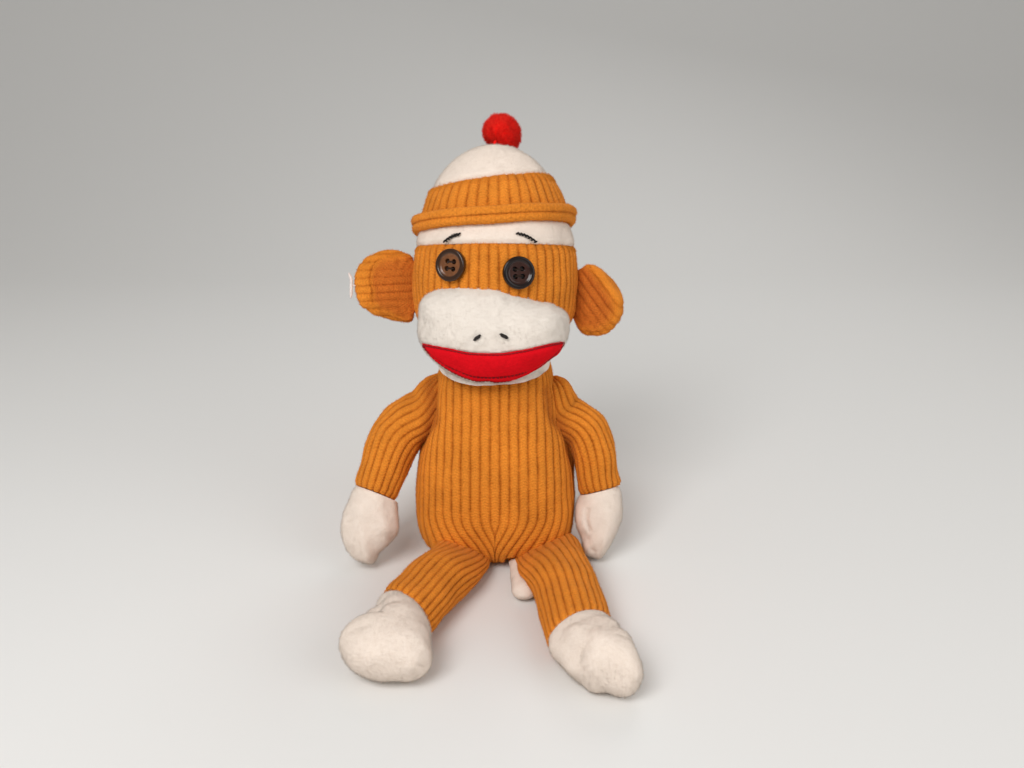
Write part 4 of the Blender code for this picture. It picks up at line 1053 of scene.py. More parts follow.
class SOCKMONKEY_OT_head(bpy.types.Operator):
    """Dress the face in rib knit and the forehead in plush"""

    bl_idname = "sock_monkey.head"
    bl_label = "Face and forehead"

    def execute(self, context):
        s = settings()
        points, rib, count = band_skin(
            0.0002, FACE_TOP, 84, 54, 0.0, 0.0010, s.ridge_height * 0.9, seed=7
        )
        knitted("face_skin", points, "head", "head", rib, stitch_map(points, count, STITCH))
        fuzz("face_fuzz", points[1:-1], "head", 12, comb=(0, 0, -0.2))
        edge = points[-7:-1]
        fuzz("face_edge", edge, "head", 14, per_area=EDGE_FUZZ, longer=1.2, comb=(0, 0, 1.0))
        points, _, _ = band_skin(FACE_TOP, forehead_end, 26, 40, 0.0002, 0.0008, seed=9)
        plush("forehead_skin", points, "head", "forehead_band")
        plush_pile("forehead_pile", points[1:-1], "head", 13, longer=0.8, comb=(0, 0, -0.5))
        return {"FINISHED"}


class SOCKMONKEY_OT_hat(bpy.types.Operator):
    """Dress the hat: ribbed band, plush crown and rolled cuff"""

    bl_idname = "sock_monkey.hat"
    bl_label = "Hat"

    def execute(self, context):
        s = settings()
        points, rib, count = band_skin(
            band_foot, hat_edge, 40, 42, 0.0006, 0.0006, s.ridge_height * 0.8, seed=15
        )
        knitted("hat_band_skin", points, "head", "hat_band", rib, stitch_map(points, count, STITCH))
        fuzz("hat_band_fuzz", points[1:-1], "head", 16, comb=(0, 0, 0.3))
        edge = points[-9:-1]
        fuzz("hat_band_edge", edge, "head", 19, per_area=EDGE_FUZZ, longer=1.3, comb=(0, 0, 1.0))
        points, _, _ = band_skin(hat_edge, HEAD_HEIGHT, 60, 36, 0.0002, 0.0009, seed=17)
        points = points[:-1]
        plush("hat_crown_skin", points, "head", "hat_crown")
        plush_pile("hat_crown_pile", points[1:], "head", 18, comb=(0, 0, -0.3))
        self.cuff()
        return {"FINISHED"}

    def cuff(self):
        """The cuff: two rolls of knit, one on the other, carried round the head with a fold between them.

        The profile is the smooth maximum of two circles, so it is creased where they meet, and the crease is
        painted darker as shade.
        """
        steps = 4
        count, turn = rib_turns(110, steps)
        turn = turn - math.pi
        level = cuff_level(turn)
        wide, deep = head_halves(level - 0.0036)
        out = np.stack([np.sin(turn), -np.cos(turn), 0 * turn], axis=1)
        middle = np.stack([(wide + 0.0012) * out[:, 0], (deep + 0.0016) * out[:, 1], level], axis=1)
        around = np.linspace(0, 2 * math.pi, 44, endpoint=False)
        c, t = np.cos(around)[None, :], np.sin(around)[None, :]
        wave = 0.00025 * lumps(middle, 0.03, 21)[:, None]
        reach = 0
        for rise, lead, radius in (
            (0.00185 + wave, 0.0003, 0.00235), (-0.00165 + wave, -0.0001, 0.00225)
        ):
            along = rise * t + lead * c
            reach = reach + (along + np.sqrt(along**2 + radius**2 - rise**2 - lead**2)) ** 14
        reach = reach ** (1 / 14)
        rib = rib_shape(count)[:, None]
        reach = reach * (1 + 0.035 * (rib - 0.6)) + 0.00012 * lumps(middle, 0.009, 22)[:, None]
        points = (
            middle[:, None, :]
            + (reach * c)[..., None] * out[:, None, :]
            + (reach * t)[..., None] * np.array([0, 0, 1.0])
        )
        points = to_doll(points)
        quads = cells(grid_index(points, wrap_rows=True, wrap_columns=True)).tolist()
        skin = put("hat_cuff", points.reshape(-1, 3), quads, brown_knit(), "head")
        # fold lowers the rib in the crease between the two rolls: painted shade
        fold = np.exp(-(((t - 0.05) / 0.16) ** 2)) * (c > 0)
        keep_field(skin, "rib", (0.72 + 0.28 * rib - 0.75 * fold).ravel())
        along = np.arange(len(around) + 1) / len(around) * 12
        across = np.append(count, count[-1] + 1 / steps) * 0.5
        keep_map(skin, cells(np.stack(np.broadcast_arrays(across[:, None], along[None]), axis=-1)))
        dress(skin, "hat_brim")
        fuzz("hat_cuff_fuzz", points, "head", 22, per_area=1.6e6, comb=(0, 0, 0))


class SOCKMONKEY_OT_pompom(bpy.types.Operator):
    """Make the pompom: a ball and its tie, with a coat of shorn yarn"""

    bl_idname = "sock_monkey.pompom"
    bl_label = "Pompom"

    def execute(self, context):
        s = settings()
        back, aside = math.radians(54.0), math.radians(20.0)
        turned = leaned(aside) @ tipped(back)
        foot = np.array([0, 0, HEAD_HEIGHT + GAP + 0.0014])
        middle = turned[:, 2] * (0.0012 + 0.0185 / 2) + np.array([0.0006, 0, 0])
        ball = lobed(
            ball_ways(80, 120),
            [((0, 0, 0), (0.0078, 0.0078, 0.0080)), ((0.0026, 0, -0.0026), (0.0064, 0.0074, 0.0074))],
        )
        grain = np.stack(
            [ball[..., 0] * 1.0 + ball[..., 2] * 0.45, ball[..., 1] * 0.6, ball[..., 2] * 0.35], axis=-1
        )
        ball = ball * (1 + 0.045 * lumps(grain, 0.0045, 31) + 0.03 * lumps(ball, 0.012, 32))[..., None]
        points = to_doll(middle + foot) + ball
        red = (min(1.0, s.red_colour[0] * 1.28), 0.012, 0.008)
        dark = tuple(c * 0.80 for c in red)
        material = plush_finish("red_yarn_shorn", red, dark, 0.8, 0.0)
        skin = put_grid("pompom_ball", points, material, "pompom")
        dress(skin, "pompom")
        fibre = fibre_finish("red_yarn_ends", (1.0, 0.040, 0.024), (0.80, 0.014, 0.010))
        pile("pompom_yarn", points, fibre, "pompom", 11.0e6, 0.0019, 33, 0.00011, (0, 0, 0))
        tie = ball_ways(16, 20) * np.array([0.0008, 0.0008, 0.0020]) @ turned.T
        tie = tie + foot + np.array([0, 0.0008, -0.0006])
        put_grid("pompom_tie", to_doll(tie), material, "pompom")
        return {"FINISHED"}


class SOCKMONKEY_OT_muzzle(bpy.types.Operator):
    """Make the plush muzzle"""

    bl_idname = "sock_monkey.muzzle"
    bl_label = "Muzzle"

    def execute(self, context):
        s = settings()
        ways = ball_ways(120, 180)
        points = muzzle_points(ways)
        bumps = 0.0005 * lumps(points, 0.02, 41) + 0.00015 * lumps(points, 0.006, 42)
        points = points + unit(points) * bumps[..., None]
        level = points[..., 2] + MUZZLE_LEVEL
        above = lip_line(UPPER_LIP, points[..., 0]) + 0.0005
        below = lip_line(LOWER_LIP, points[..., 0]) - 0.0005
        lips = (level < above) & (level > below) & (points[..., 1] < -0.010)
        points = points - unit(points) * (0.0007 * lips)[..., None]
        points = points @ MUZZLE_TURN.T + MUZZLE_MIDDLE
        points[..., 1] = np.minimum(points[..., 1], -0.006)
        away = np.linalg.norm(points[..., :2], axis=-1)
        clear = np.interp(
            points[..., 2], np.array(CHIN_LEVELS) * HEAD_HEIGHT, np.array(CHIN_RADII) * HEAD_WIDTH / 2, right=0
        )
        grow = np.maximum(clear, away) / np.maximum(away, 1e-6)
        points[..., :2] *= grow[..., None]
        points = to_doll(points)
        light, shade = muzzle_colours()
        material = plush_finish("muzzle_plush_piled", light, shade)
        skin = put_grid("muzzle_skin", points, material, "head")
        dress(skin, "muzzle")
        bare = lips | (((points - NECK) @ HEAD_TURN)[..., 1] > -0.018)
        fibre = fibre_finish("muzzle_pile", light, shade)
        pile(
            "muzzle_pile", points, fibre, "head", 3.4e6, s.pile_length, 43, comb=(0, 0, -0.3),
            keep=1.0 - bare,
        )
        return {"FINISHED"}


UPPER_LIP = (
    (-32.0, -25.4, -18.1, -6.65, 4.1, 14.7, 25.3, 30.6, 35.1),
    (2.9, 2.3, 1.3, -0.5, -0.7, 0.6, 2.8, 3.7, 4.1),
)
LOWER_LIP = (
    (-32.0, -28.6, -25.0, -16.8, -11.1, -5.15, -0.8, 3.05, 8.5, 14.0, 25.1, 30.6, 35.1),
    (2.9, -1.6, -5.3, -10.8, -13.1, -14.5, -14.2, -14.9, -14.6, -13.5, -8.4, -3.0, 4.1),
)
MOUTH_LINE = (
    (-31.6, -24.4, -16.0, -4.6, 3.6, 14.3, 25.2, 34.7),
    (2.6, -3.2, -8.0, -11.4, -11.6, -10.0, -5.2, 3.8),
)


def lip_line(table, x):
    return smooth(x * 1000, *table) / 1000


class SOCKMONKEY_OT_mouth(bpy.types.Operator):
    """Lay the red lips on the muzzle and stitch their outline, the mouth's line and the nostrils"""

    bl_idname = "sock_monkey.mouth"
    bl_label = "Mouth and nose"

    def execute(self, context):
        s = settings()
        left, right = UPPER_LIP[0][0] / 1000, UPPER_LIP[0][-1] / 1000
        x = (left + right) / 2 + (right - left) / 2 * np.sin(np.linspace(-1, 1, 221) * math.pi / 2)
        upper, lower = lip_line(UPPER_LIP, x), lip_line(LOWER_LIP, x)
        lower = np.minimum(lower, upper - 0.0002)
        across = np.linspace(0, 1, 61)
        level = lower[None, :] + (upper - lower)[None, :] * across[:, None]
        edge = np.minimum(across, 1 - across)[:, None] * (upper - lower)[None, :]
        end = np.minimum(x - left, right - x)[None, :] * 0.5
        puff = 0.0014 * (1 - np.exp(-((np.minimum(edge, end + 0.0001) / 0.0013) ** 2)))
        split = np.exp(-(((level - lip_line(MOUTH_LINE, x)[None, :]) / 0.0006) ** 2))
        top, normal = on_muzzle(x[None, :], level, 0.0)
        nap = 0.00010 * lumps(top, 0.0020, 51) + 0.00025 * lumps(top, 0.012, 52)
        front = top + normal * (0.0001 + puff * (1 - 0.75 * split) + nap * (puff > 0.0006))[..., None]
        back = top - normal * 0.0006
        points = np.concatenate([front, back[::-1]], axis=0)
        red = s.red_colour[:]
        material = plush_finish("red_fleece_brushed", red, tuple(c * 0.84 for c in red), 1.3, 0.0)
        index = grid_index(points, wrap_rows=True)
        faces = cells(index).tolist() + [index[:-1, 0].tolist(), index[:-1, -1][::-1].tolist()]
        lips = put("lips_fleece", points.reshape(-1, 3), faces, material, "head")
        dress(lips, "lips")
        self.stitches(left, right)
        return {"FINISHED"}

    def stitches(self, left, right):
        """Back stitches along the lips' edge and the mouth, and a slanting satin stitch for each nostril."""
        dark = plain_finish("dark_red_thread", (0.28, 0.004, 0.010), 0.7, grain=2500.0)
        paths = []
        fine = np.linspace(left + 0.0006, right - 0.0006, 1500)
        lines = (
            (lip_line(UPPER_LIP, fine) - 0.00045, 0.00050, 0.0017),
            (lip_line(LOWER_LIP, fine) + 0.00055, 0.00055, 0.0017),
            (lip_line(MOUTH_LINE, fine), 0.00050, 0.0016),
            (lip_line(MOUTH_LINE, fine) - 0.00045, 0.00055, 0.0016),
        )
        for level, lift, length in lines:
            on, _ = on_muzzle(fine, level, lift)
            run = np.concatenate([[0], np.cumsum(np.linalg.norm(np.diff(on, axis=0), axis=1))])
            for start in np.arange(0.0003, run[-1] - 0.0016, 0.0018):
                at = np.linspace(start, start + length, 7)
                paths.append(np.stack([np.interp(at, run, on[:, k]) for k in range(3)], axis=1))
        thread("lip_stitches", paths, 0.00034, dark, "head", 6)
        black = plain_finish("grey_black_thread", (0.026, 0.020, 0.018), 0.6, grain=2500.0)
        nostrils = []
        for start, end in (
            ((-0.0064, 0.0054), (-0.0028, 0.0077)), ((0.0052, 0.0082), (0.0093, 0.0064))
        ):
            for rise in (-0.0005, 0.0, 0.0005):
                t = np.linspace(abs(rise) * 250, 1 - abs(rise) * 200, 9)
                x = start[0] + (end[0] - start[0]) * t
                level = start[1] + (end[1] - start[1]) * t + rise
                on, _ = on_muzzle(x, level, 0.0012)
                nostrils.append(on)
        thread("nostril_stitches", nostrils, 0.00036, black, "head", 8)


class SOCKMONKEY_OT_eyes(bpy.types.Operator):
    """Make the two button eyes, sew them on and embroider the brows"""

    bl_idname = "sock_monkey.eyes"
    bl_label = "Eyes and brows"

    def execute(self, context):
        s = settings()
        cord = plain_finish("brown_thread", (0.030, 0.014, 0.008), 0.8, grain=2500.0)
        for name, angle, level, colour in (
            ("left_eye_button", 20.0, 0.0355, s.button_colour[:]),
            ("right_eye_button", -23.5, 0.0390, s.worn_button_colour[:]),
        ):
            place, normal = on_head(math.radians(angle) + EYES_YAW, level, GAP + 0.0002)
            x_way = unit(np.cross(np.array([0, 0, 1.0]), normal))
            y_way = np.cross(normal, x_way)
            turned = np.stack([x_way, y_way, normal])
            gloss = button_finish(name + "_polished", colour)
            points = button_points() @ turned + place
            made = put_grid(name + "_turned", points, gloss, "head", button_face())
            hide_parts(name)
            loops = []
            for y in (-0.0015, 0.0015):
                t = np.linspace(-1, 1, 13)
                z = BUTTON_THICKNESS - 0.0024 + 0.0014 * (1 - t**2) ** 0.5
                loops.append(np.stack([0.0019 * t, y + 0 * t, z], axis=1) @ turned + place)
            thread(name + "_thread", loops, 0.00042, cord, "head")
        self.brows()
        return {"FINISHED"}

    def brows(self):
        """Each brow is a row of short slanting stitches that overlap along a bowed line on the forehead."""
        black = plain_finish("black_thread", (0.012, 0.009, 0.008), 0.6, grain=2500.0)
        right = ((-22.2, -20.0, -17.6, -15.6), (49.9, 51.4, 52.6, 53.0))
        left = ((10.6, 13.4, 16.3, 18.7), (53.2, 52.6, 51.3, 49.7))
        paths = []
        for (xs, levels), lean in ((right, 1), (left, -1)):
            for k, at in enumerate(np.linspace(xs[0], xs[-1], 13)):
                t = np.linspace(-1, 1, 7)
                x = (at + 0.65 * t) / 1000
                slant = lean * 0.2 + 0.5 * (-1) ** k
                level = (smooth(at, xs, levels) + slant * t + 0.15 * math.sin(at * 5)) / 1000
                angle = np.arcsin(np.clip(x / head_halves(level)[0], -1, 1))
                on, _ = on_head(angle, level, 0.0013 - 0.0006 * t**4)
                paths.append(on)
        thread("brow_stitches", paths, 0.00043, black, "head", 6)


@once
def button_finish(name, colour):
    """Polished button: faint clouds of brown under a clear gloss, darker on its rim, and darker down its holes
    as painted shade in the recesses.
    """
    n = Nodes(name)
    place = n.here()
    cloud = n.noise(place, 260.0, 3.0, 0.6)
    light = tuple(min(1.0, c * 1.5) for c in colour)
    face = n.mix(n.spread(cloud, 0.45, 0.7, 0.0, 1.0), colour, light)
    on_face = n.field("rib")
    # The dark colour goes on the rim and down the holes; down the holes it is painted shade
    dark = tuple(c * 0.22 for c in colour)
    return n.finish(n.mix(on_face, dark, face), 0.20, coat=0.15, specular=0.3)


def button_points():
    """A button on its own axis: a lathe profile with a raised rim, dished face and four sunk holes."""
    edge, columns = 0.0008, 120
    radius, depth = BUTTON_RADIUS, BUTTON_THICKNESS
    bottom = [(0.02 * radius, 0), (radius - edge, 0)]
    side = [
        (radius - edge * (1 - math.sin(a)), edge * (1 - math.cos(a)))
        for a in np.linspace(0.3, math.pi / 2, 4)
    ]
    top = [
        (radius - edge * (1 - math.cos(a)), depth - edge * (1 - math.sin(a)))
        for a in np.linspace(0.0, math.pi / 2, 6)
    ]
    inner = [
        (radius - 0.0014, depth), (radius - 0.0019, depth - 0.0002), (radius - 0.0026, depth - 0.0009)
    ]
    face = [(r, depth - 0.0010 + 0.0001 * r / radius) for r in np.linspace(radius - 0.0032, 0.0001, 44)]
    profile = np.array(bottom + side + top + inner + face)
    turn = np.linspace(0, 2 * math.pi, columns, endpoint=False)
    x, y = profile[:, :1] * np.cos(turn), profile[:, :1] * np.sin(turn)
    z = profile[:, 1:] + 0 * x
    on_face = np.arange(len(profile))[:, None] >= len(profile) - len(face)
    away = np.hypot(np.abs(x) - HOLE_OUT, np.abs(y) - HOLE_OUT)
    z = z - 0.0016 * ease(away, 0.00125, 0.00085) * on_face
    return np.stack([x, y, z], axis=-1)


def button_face():
    """1 on the button's flat face and 0 on its rim and down its holes, at each point; the dark down the holes
    is painted shade.
    """
    points = button_points()
    away = np.hypot(np.abs(points[..., 0]) - HOLE_OUT, np.abs(points[..., 1]) - HOLE_OUT)
    radius = np.hypot(points[..., 0], points[..., 1])
    return ease(away, 0.0009, 0.00125) * ease(radius, BUTTON_RADIUS - 0.0021, BUTTON_RADIUS - 0.0026)


class SOCKMONKEY_OT_ears(bpy.types.Operator):
    """Make the ears: knitted discs with a rust lining let into the front"""

    bl_idname = "sock_monkey.ears"
    bl_label = "Ears"

    def execute(self, context):
        s = settings()
        for side in (1, -1):
            self.ear(s, side)
        return {"FINISHED"}

    def ear(self, s, side):
        """An ear: a bag with its own outline, dished in front inside a rolled rim, where the lining lies."""
        label, body, outline = ("left", "left_ear", LEFT_EAR) if side > 0 else (
            "right", "right_ear", RIGHT_EAR
        )
        pivot, out, tall, front = ear_frame(side)
        middle = pivot + out * 0.0125
        slant = 0.75 if side > 0 else 0.05
        turned = np.stack([out, tall, front])
        seam = ("head", body, tuple(pivot - out * 0.001), tuple(pivot + out * 0.006))
        points = stuffed(ball_ways(150, 200), outline, 0.0046, 2.7)
        a, b, ahead = points[..., 0], points[..., 1], points[..., 2]
        angle = np.arctan2(b, a)
        inside = np.hypot(a, b) / (outline_reach(angle, outline) - self.rim(side, angle))
        dish = ease(inside, 1.01, 0.88) * (ahead > 0)
        points[..., 2] = ahead - np.maximum(ahead - 0.0024, 0) * dish
        fan = 1 + 0.010 * (a * 1000) / 12
        pitch = 0.0042 if side > 0 else 0.0038
        count = (b * fan + slant * a) / math.hypot(1, slant) / pitch
        rib = rib_shape(count + 0.5)
        edge = np.exp(-(((inside - 1.0) / 0.04) ** 2)) * (ahead > 0)
        lift = 0.00045 * (rib - 0.7) + 0.0002 * lumps(points, 0.010, 61 + side)
        points = points + outward(points) * lift[..., None]
        knit = stitch_map(points, count + 0.5, STITCH)
        points = points @ turned + middle
        # The minus-edge term paints the rim's inner edge, where the dish steps down, a little darker: painted
        # shade
        shade = np.clip(rib * 0.6 + 0.4 - 0.12 * edge, 0, 1)
        knitted(label + "_ear_skin", points, seam, label + "_ear", shade, knit)
        keep = np.where(
            ahead > 0,
            ease(inside, 0.93, 0.99) + 2.0 * ease(inside, 0.96, 1.0) * ease(inside, 1.14, 1.04), 1.0,
        )
        fuzz(label + "_ear_fuzz", points, seam, 62, per_area=2.4e6, comb=(0, 0, 0), keep=keep)
        angles = np.arange(len(outline)) * 2 * math.pi / len(outline)
        inner = np.array(outline) - self.rim(side, angles) * 1000 + 0.3
        pad = stuffed(ball_ways(140, 200), inner, 0.0016, 6.0)
        fan = 1 + 0.010 * (pad[..., 0] * 1000) / 12
        across = (pad[..., 1] * fan + slant * pad[..., 0]) / math.hypot(1, slant) / pitch + 0.5
        rib = rib_shape(across)
        turned_to = np.arctan2(pad[..., 1], pad[..., 0])
        margin = outline_reach(turned_to, inner) - np.hypot(pad[..., 0], pad[..., 1])
        patch = 0.0006 * lumps(pad, 0.004, 66 + side)
        strength = 0.9 if side < 0 else 0.7
        gold = ease(margin + patch, 0.0040, 0.0) * ease(np.cos(turned_to), -0.8, -0.2) * strength
        pad[..., 2] += (0.0006 * (rib - 0.8) + 0.0002 * lumps(pad, 0.006, 64 + side)) * (pad[..., 2] > 0)
        knit = stitch_map(pad, across, FINE_STITCH)
        pad = pad @ turned + middle + front * 0.0022
        shade = rib if side > 0 else 0.4 + 0.6 * rib
        made = put_grid(label + "_ear_panel", pad, rust_knit(), seam, shade, knit, gold)
        dress(made, label + "_ear_lining")
        keep = ((pad - middle) @ front > 0.0026) * 1.0
        rust = fibre_finish("rust_fuzz", s.lining_colour[:], tuple(c * 0.85 for c in s.lining_colour))
        pile(
            label + "_ear_panel_fuzz", pad, rust, seam, 2.2e6, s.fuzz_length, 63, comb=(0, 0, 0),
            keep=keep,
        )

    def rim(self, side, angle):
        """How wide the ear's gold rim is at an angle: widest at its outer end, none at the head."""
        out = np.maximum(np.cos(angle), 0) ** 2
        high = np.sin(angle)
        width = 0.0026 + 0.0006 * high + 0.0044 * out if side < 0 else 0.0022 + 0.0012 * np.maximum(high, 0)
        return width * ease(np.cos(angle), -0.85, -0.35)


RIGHT_EAR = (
    15.0, 15.9, 16.7, 17.4, 18.1, 18.9, 19.6, 20.4, 18.6, 15.8,
    15.6, 15.8, 17.2, 20.2, 16.6, 14.6, 13.9, 13.9, 14.6, 14.9,
)
LEFT_EAR = (
    12.5, 11.3, 10.7, 10.6, 11.2, 12.4, 14.6, 17.8, 17.4, 15.4,
    15.0, 15.2, 16.2, 18.3, 20.1, 18.8, 17.9, 16.5, 15.0, 14.0,
)


def ear_frame(side):
    """The ear's seam on the head, its way out, its height and its front, in the doll's frame."""
    level = 0.0266 if side > 0 else 0.0284
    forward, droop = (math.radians(38.0), math.radians(12.0)) if side > 0 else (math.radians(18.0), 0.0)
    place = head_grid(level, side * math.pi / 2)
    wide, _ = head_halves(np.array([level - 0.0004, level + 0.0004]))
    normal = unit(np.array([side, 0, -(wide[1] - wide[0]) / 0.0008]))
    pivot = to_doll(place + normal * (GAP + 0.001))
    flat = math.cos(droop)
    out = HEAD_TURN @ np.array(
        [side * math.cos(forward) * flat, -math.sin(forward) * flat, -math.sin(droop)]
    )
    tall = HEAD_TURN @ np.array([0.0, 0.0, 1.0])
    front = unit(np.cross(tall, out)) * -side
    return pivot, out, unit(tall - out * (tall @ out)), front


RIGHT_HAND = (
    15.2, 14.5, 14.3, 15.1, 19.1, 18.0, 16.4, 14.7, 13.7, 12.8,
    12.4, 13.2, 14.0, 14.0, 13.9, 13.5, 13.6, 14.0, 14.5, 14.6,
)
LEFT_HAND = (
    13.8, 13.9, 14.9, 19.6, 20.0, 14.4, 11.0, 9.4, 8.6, 8.1,
    8.0, 8.5, 9.6, 11.0, 12.0, 12.9, 13.7, 14.4, 14.8, 14.3,
)
HAND_CREASES = {
    1: (
        (((44.8, -20.2, 28.6), (44.3, -21.8, 24.1), (45.8, -23.7, 19.6)), 0.0016, FINE_STITCH),
        (((46.5, -22.0, 14.0), (48.5, -25.0, 9.0)), 0.0008, 0.0012),
    ),
    -1: (
        (((-46.3, -32.7, 20.4), (-49.7, -31.7, 21.5), (-53.6, -32.3, 20.6)), 0.0010, STITCH),
        (((-50.0, -30.0, 27.5), (-56.0, -30.0, 29.0)), 0.0006, 0.0018),
    ),
}
FOOT_CREASES = {
    1: (
        (
            ((35.8, -123.7, 23.5), (36.4, -131.1, 24), (37.2, -138.0, 23), (39.8, -145.0, 18)), 0.0022,
            0.0016,
        ),
        (((28.0, -130.6, 19), (31.4, -132.0, 22), (35.7, -132.4, 23)), 0.0015, FINE_STITCH),
        (((38.0, -112.0, 25), (36.4, -118.0, 25), (36.0, -124.0, 24)), 0.0007, 0.0022),
    ),
    -1: (
        (((-41.0, -92.0, 25), (-48.0, -96.0, 24), (-55.0, -95.0, 22)), 0.0008, 0.0024),
        (((-62.0, -106.0, 14), (-56.0, -108.0, 20), (-50.0, -109.0, 24)), 0.0005, 0.0022),
        (((-54.0, -82.5, 3), (-53.5, -82.5, 12), (-51.0, -83.5, 20)), 0.0032, 0.0048),
    ),
}


def tube_frame(path, side_way):
    """The ways ahead, across and deep along a path."""
    ahead = unit(np.gradient(path, axis=0))
    deep = unit(np.cross(ahead, side_way))
    return ahead, unit(np.cross(deep, ahead)), deep


class SOCKMONKEY_OT_arms(bpy.types.Operator):
    """Dress the arms in rib knit and the hands in plush"""

    bl_idname = "sock_monkey.arms"
    bl_label = "Arms and hands"

    def execute(self, context):
        s = settings()
        for side in (1, -1):
            self.arm(s, side)
        return {"FINISHED"}

    def arm(self, s, side):
        """An arm: circles carried from the shoulder to the wrist, gathered at both seams, then a mitten."""
        label, body = ("left", "left_arm") if side > 0 else ("right", "right_arm")
        point, normal = shoulder_plane(side)
        elbow_out, wrist_out, radius, wrist_front, wrist_height = (
            (0.0446, 0.0526, 0.0116, 0.0070, 0.0334) if side > 0 else (
                0.0476, 0.0600, 0.0132, 0.0120, 0.0342
            )
        )
        elbow = np.array([side * elbow_out, 0.0050, 0.0610])
        wrist = np.array([side * wrist_out, -wrist_front, wrist_height])
        start = point + np.array([-side * 0.0030, 0, 0.0036] if side < 0 else [-0.0030, 0, 0.0082])
        down = unit(elbow - start)
        first = 0.0 if side > 0 else -0.004
        seam = ("torso", body, tuple(start + down * first), tuple(start + down * (first + 0.019)))
        swell = point + (elbow - point) * 0.45 - normal * (0.0044 if side > 0 else 0.0040)
        path = smooth_path((start, swell, elbow, wrist), 90)
        along = np.linspace(0, 1, len(path))
        filled = (
            0.0034, 0.0078, 0.0100, 0.0113, radius - 0.0003, radius, 0.5 * (radius + 0.0105), 0.0105
        )
        half = smooth(along, (0.0, 0.05, 0.12, 0.22, 0.36, 0.5, 0.8, 1.0), filled)
        ahead, wide, deep = tube_frame(path, (float(side), 0.0, 0.0))
        count, turn = rib_turns(18)
        points = rings(path, wide, deep, half, half, turn)
        rib = np.broadcast_to(rib_shape(count), points.shape[:2])
        gather = ease(along, 0.24, 0.05)[:, None] + 0.25 * ease(along, 0.90, 1.0)[:, None]
        fold = lumps(np.stack([np.cos(turn) * 2, np.sin(turn) * 2, 0 * turn], -1), 1.1, 71 + side)[None, :]
        lift = s.ridge_height * (rib * (1 + 0.5 * gather) - 0.7) + 0.0006 * gather * fold
        crease = near_line(points, ARMPITS[side], 0.0042)
        hem = 0.0009 * ease(along, 0.965, 1.0)[:, None]
        lift = lift + 0.0005 * lumps(points, 0.016, 73 + side) - hem - 0.0008 * crease
        points = points + outward(points) * lift[..., None]
        # Along the armpit crease the rib is lowered and the tint raised towards the darker rust: painted shade
        # in the crease
        rib = rib * (1 - 0.6 * crease)
        knit = stitch_map(points, count, STITCH)
        knitted(label + "_arm_skin", points, seam, label + "_arm", rib, knit, 0.85 * crease)
        keep = ((points - point) @ normal > 0.0) * 1.0
        fuzz(label + "_arm_fuzz", points, seam, 74, comb=(0, 0, -0.2), keep=keep)
        self.hand(side, label, body, wrist, ahead[-1], wide[-1])

    def hand(self, side, label, body, wrist, cuff, wide):
        """A mitten: a stuffed bag with its own outline, run into a round cuff and creased by the thumb."""
        turn = side * math.radians(6.5 if side > 0 else 9.0)
        swing = leaned(turn)
        down, inner = swing @ cuff, swing @ wide
        inner = inner * (-1 if inner[0] * side > 0 else 1)
        front = np.cross(inner, down)
        front = front * (-1 if front[1] > 0 else 1)
        outline = LEFT_HAND if side > 0 else RIGHT_HAND
        off = stuffed(
            ball_ways(90, 130), outline, 0.0109, 2.3,
            [((0, -0.0100, 0), (0.0108 if side > 0 else 0.0118, 0.0170, 0.0108))],
        )
        off = off + unit(off) * (0.0004 * lumps(off, 0.012, 81 + side))[..., None]
        middle = wrist + down * (0.0150 if side > 0 else 0.0160) + inner * 0.0006
        points = middle + off @ np.stack([inner, down, front])
        for line, depth, width in HAND_CREASES[side]:
            points = creased(points, line, depth, width)
        points = sewn(points, wrist + cuff * GAP, -cuff, -cuff, 0.0005)
        points[..., 2] = np.maximum(points[..., 2], 0)
        plush(label + "_hand_skin", points, body, label + "_hand")
        keep = ((points - wrist) @ cuff > 0.0004) * 1.0
        plush_pile(label + "_hand_pile", points, body, 83, per_area=FULL_PILE, keep=keep)


RIGHT_FOOT = (
    12.0, 18.8, 19.9, 18.7, 18.2, 18.4, 18.4, 18.2, 18.2, 19.2, 22.0, 22.6,
    20.4, 18.2, 17.2, 17.5, 19.2, 22.5, 26.0, 27.2, 22.6, 12.5, 8.0, 8.0,
)
LEFT_FOOT = (
    13.0, 14.9, 17.0, 17.7, 15.8, 12.0, 10.5, 10.2, 10.2, 10.0, 9.8, 9.8,
    10.8, 13.2, 16.4, 19.6, 18.9, 19.9, 22.0, 22.5, 20.6, 15.6, 15.6, 14.2,
)


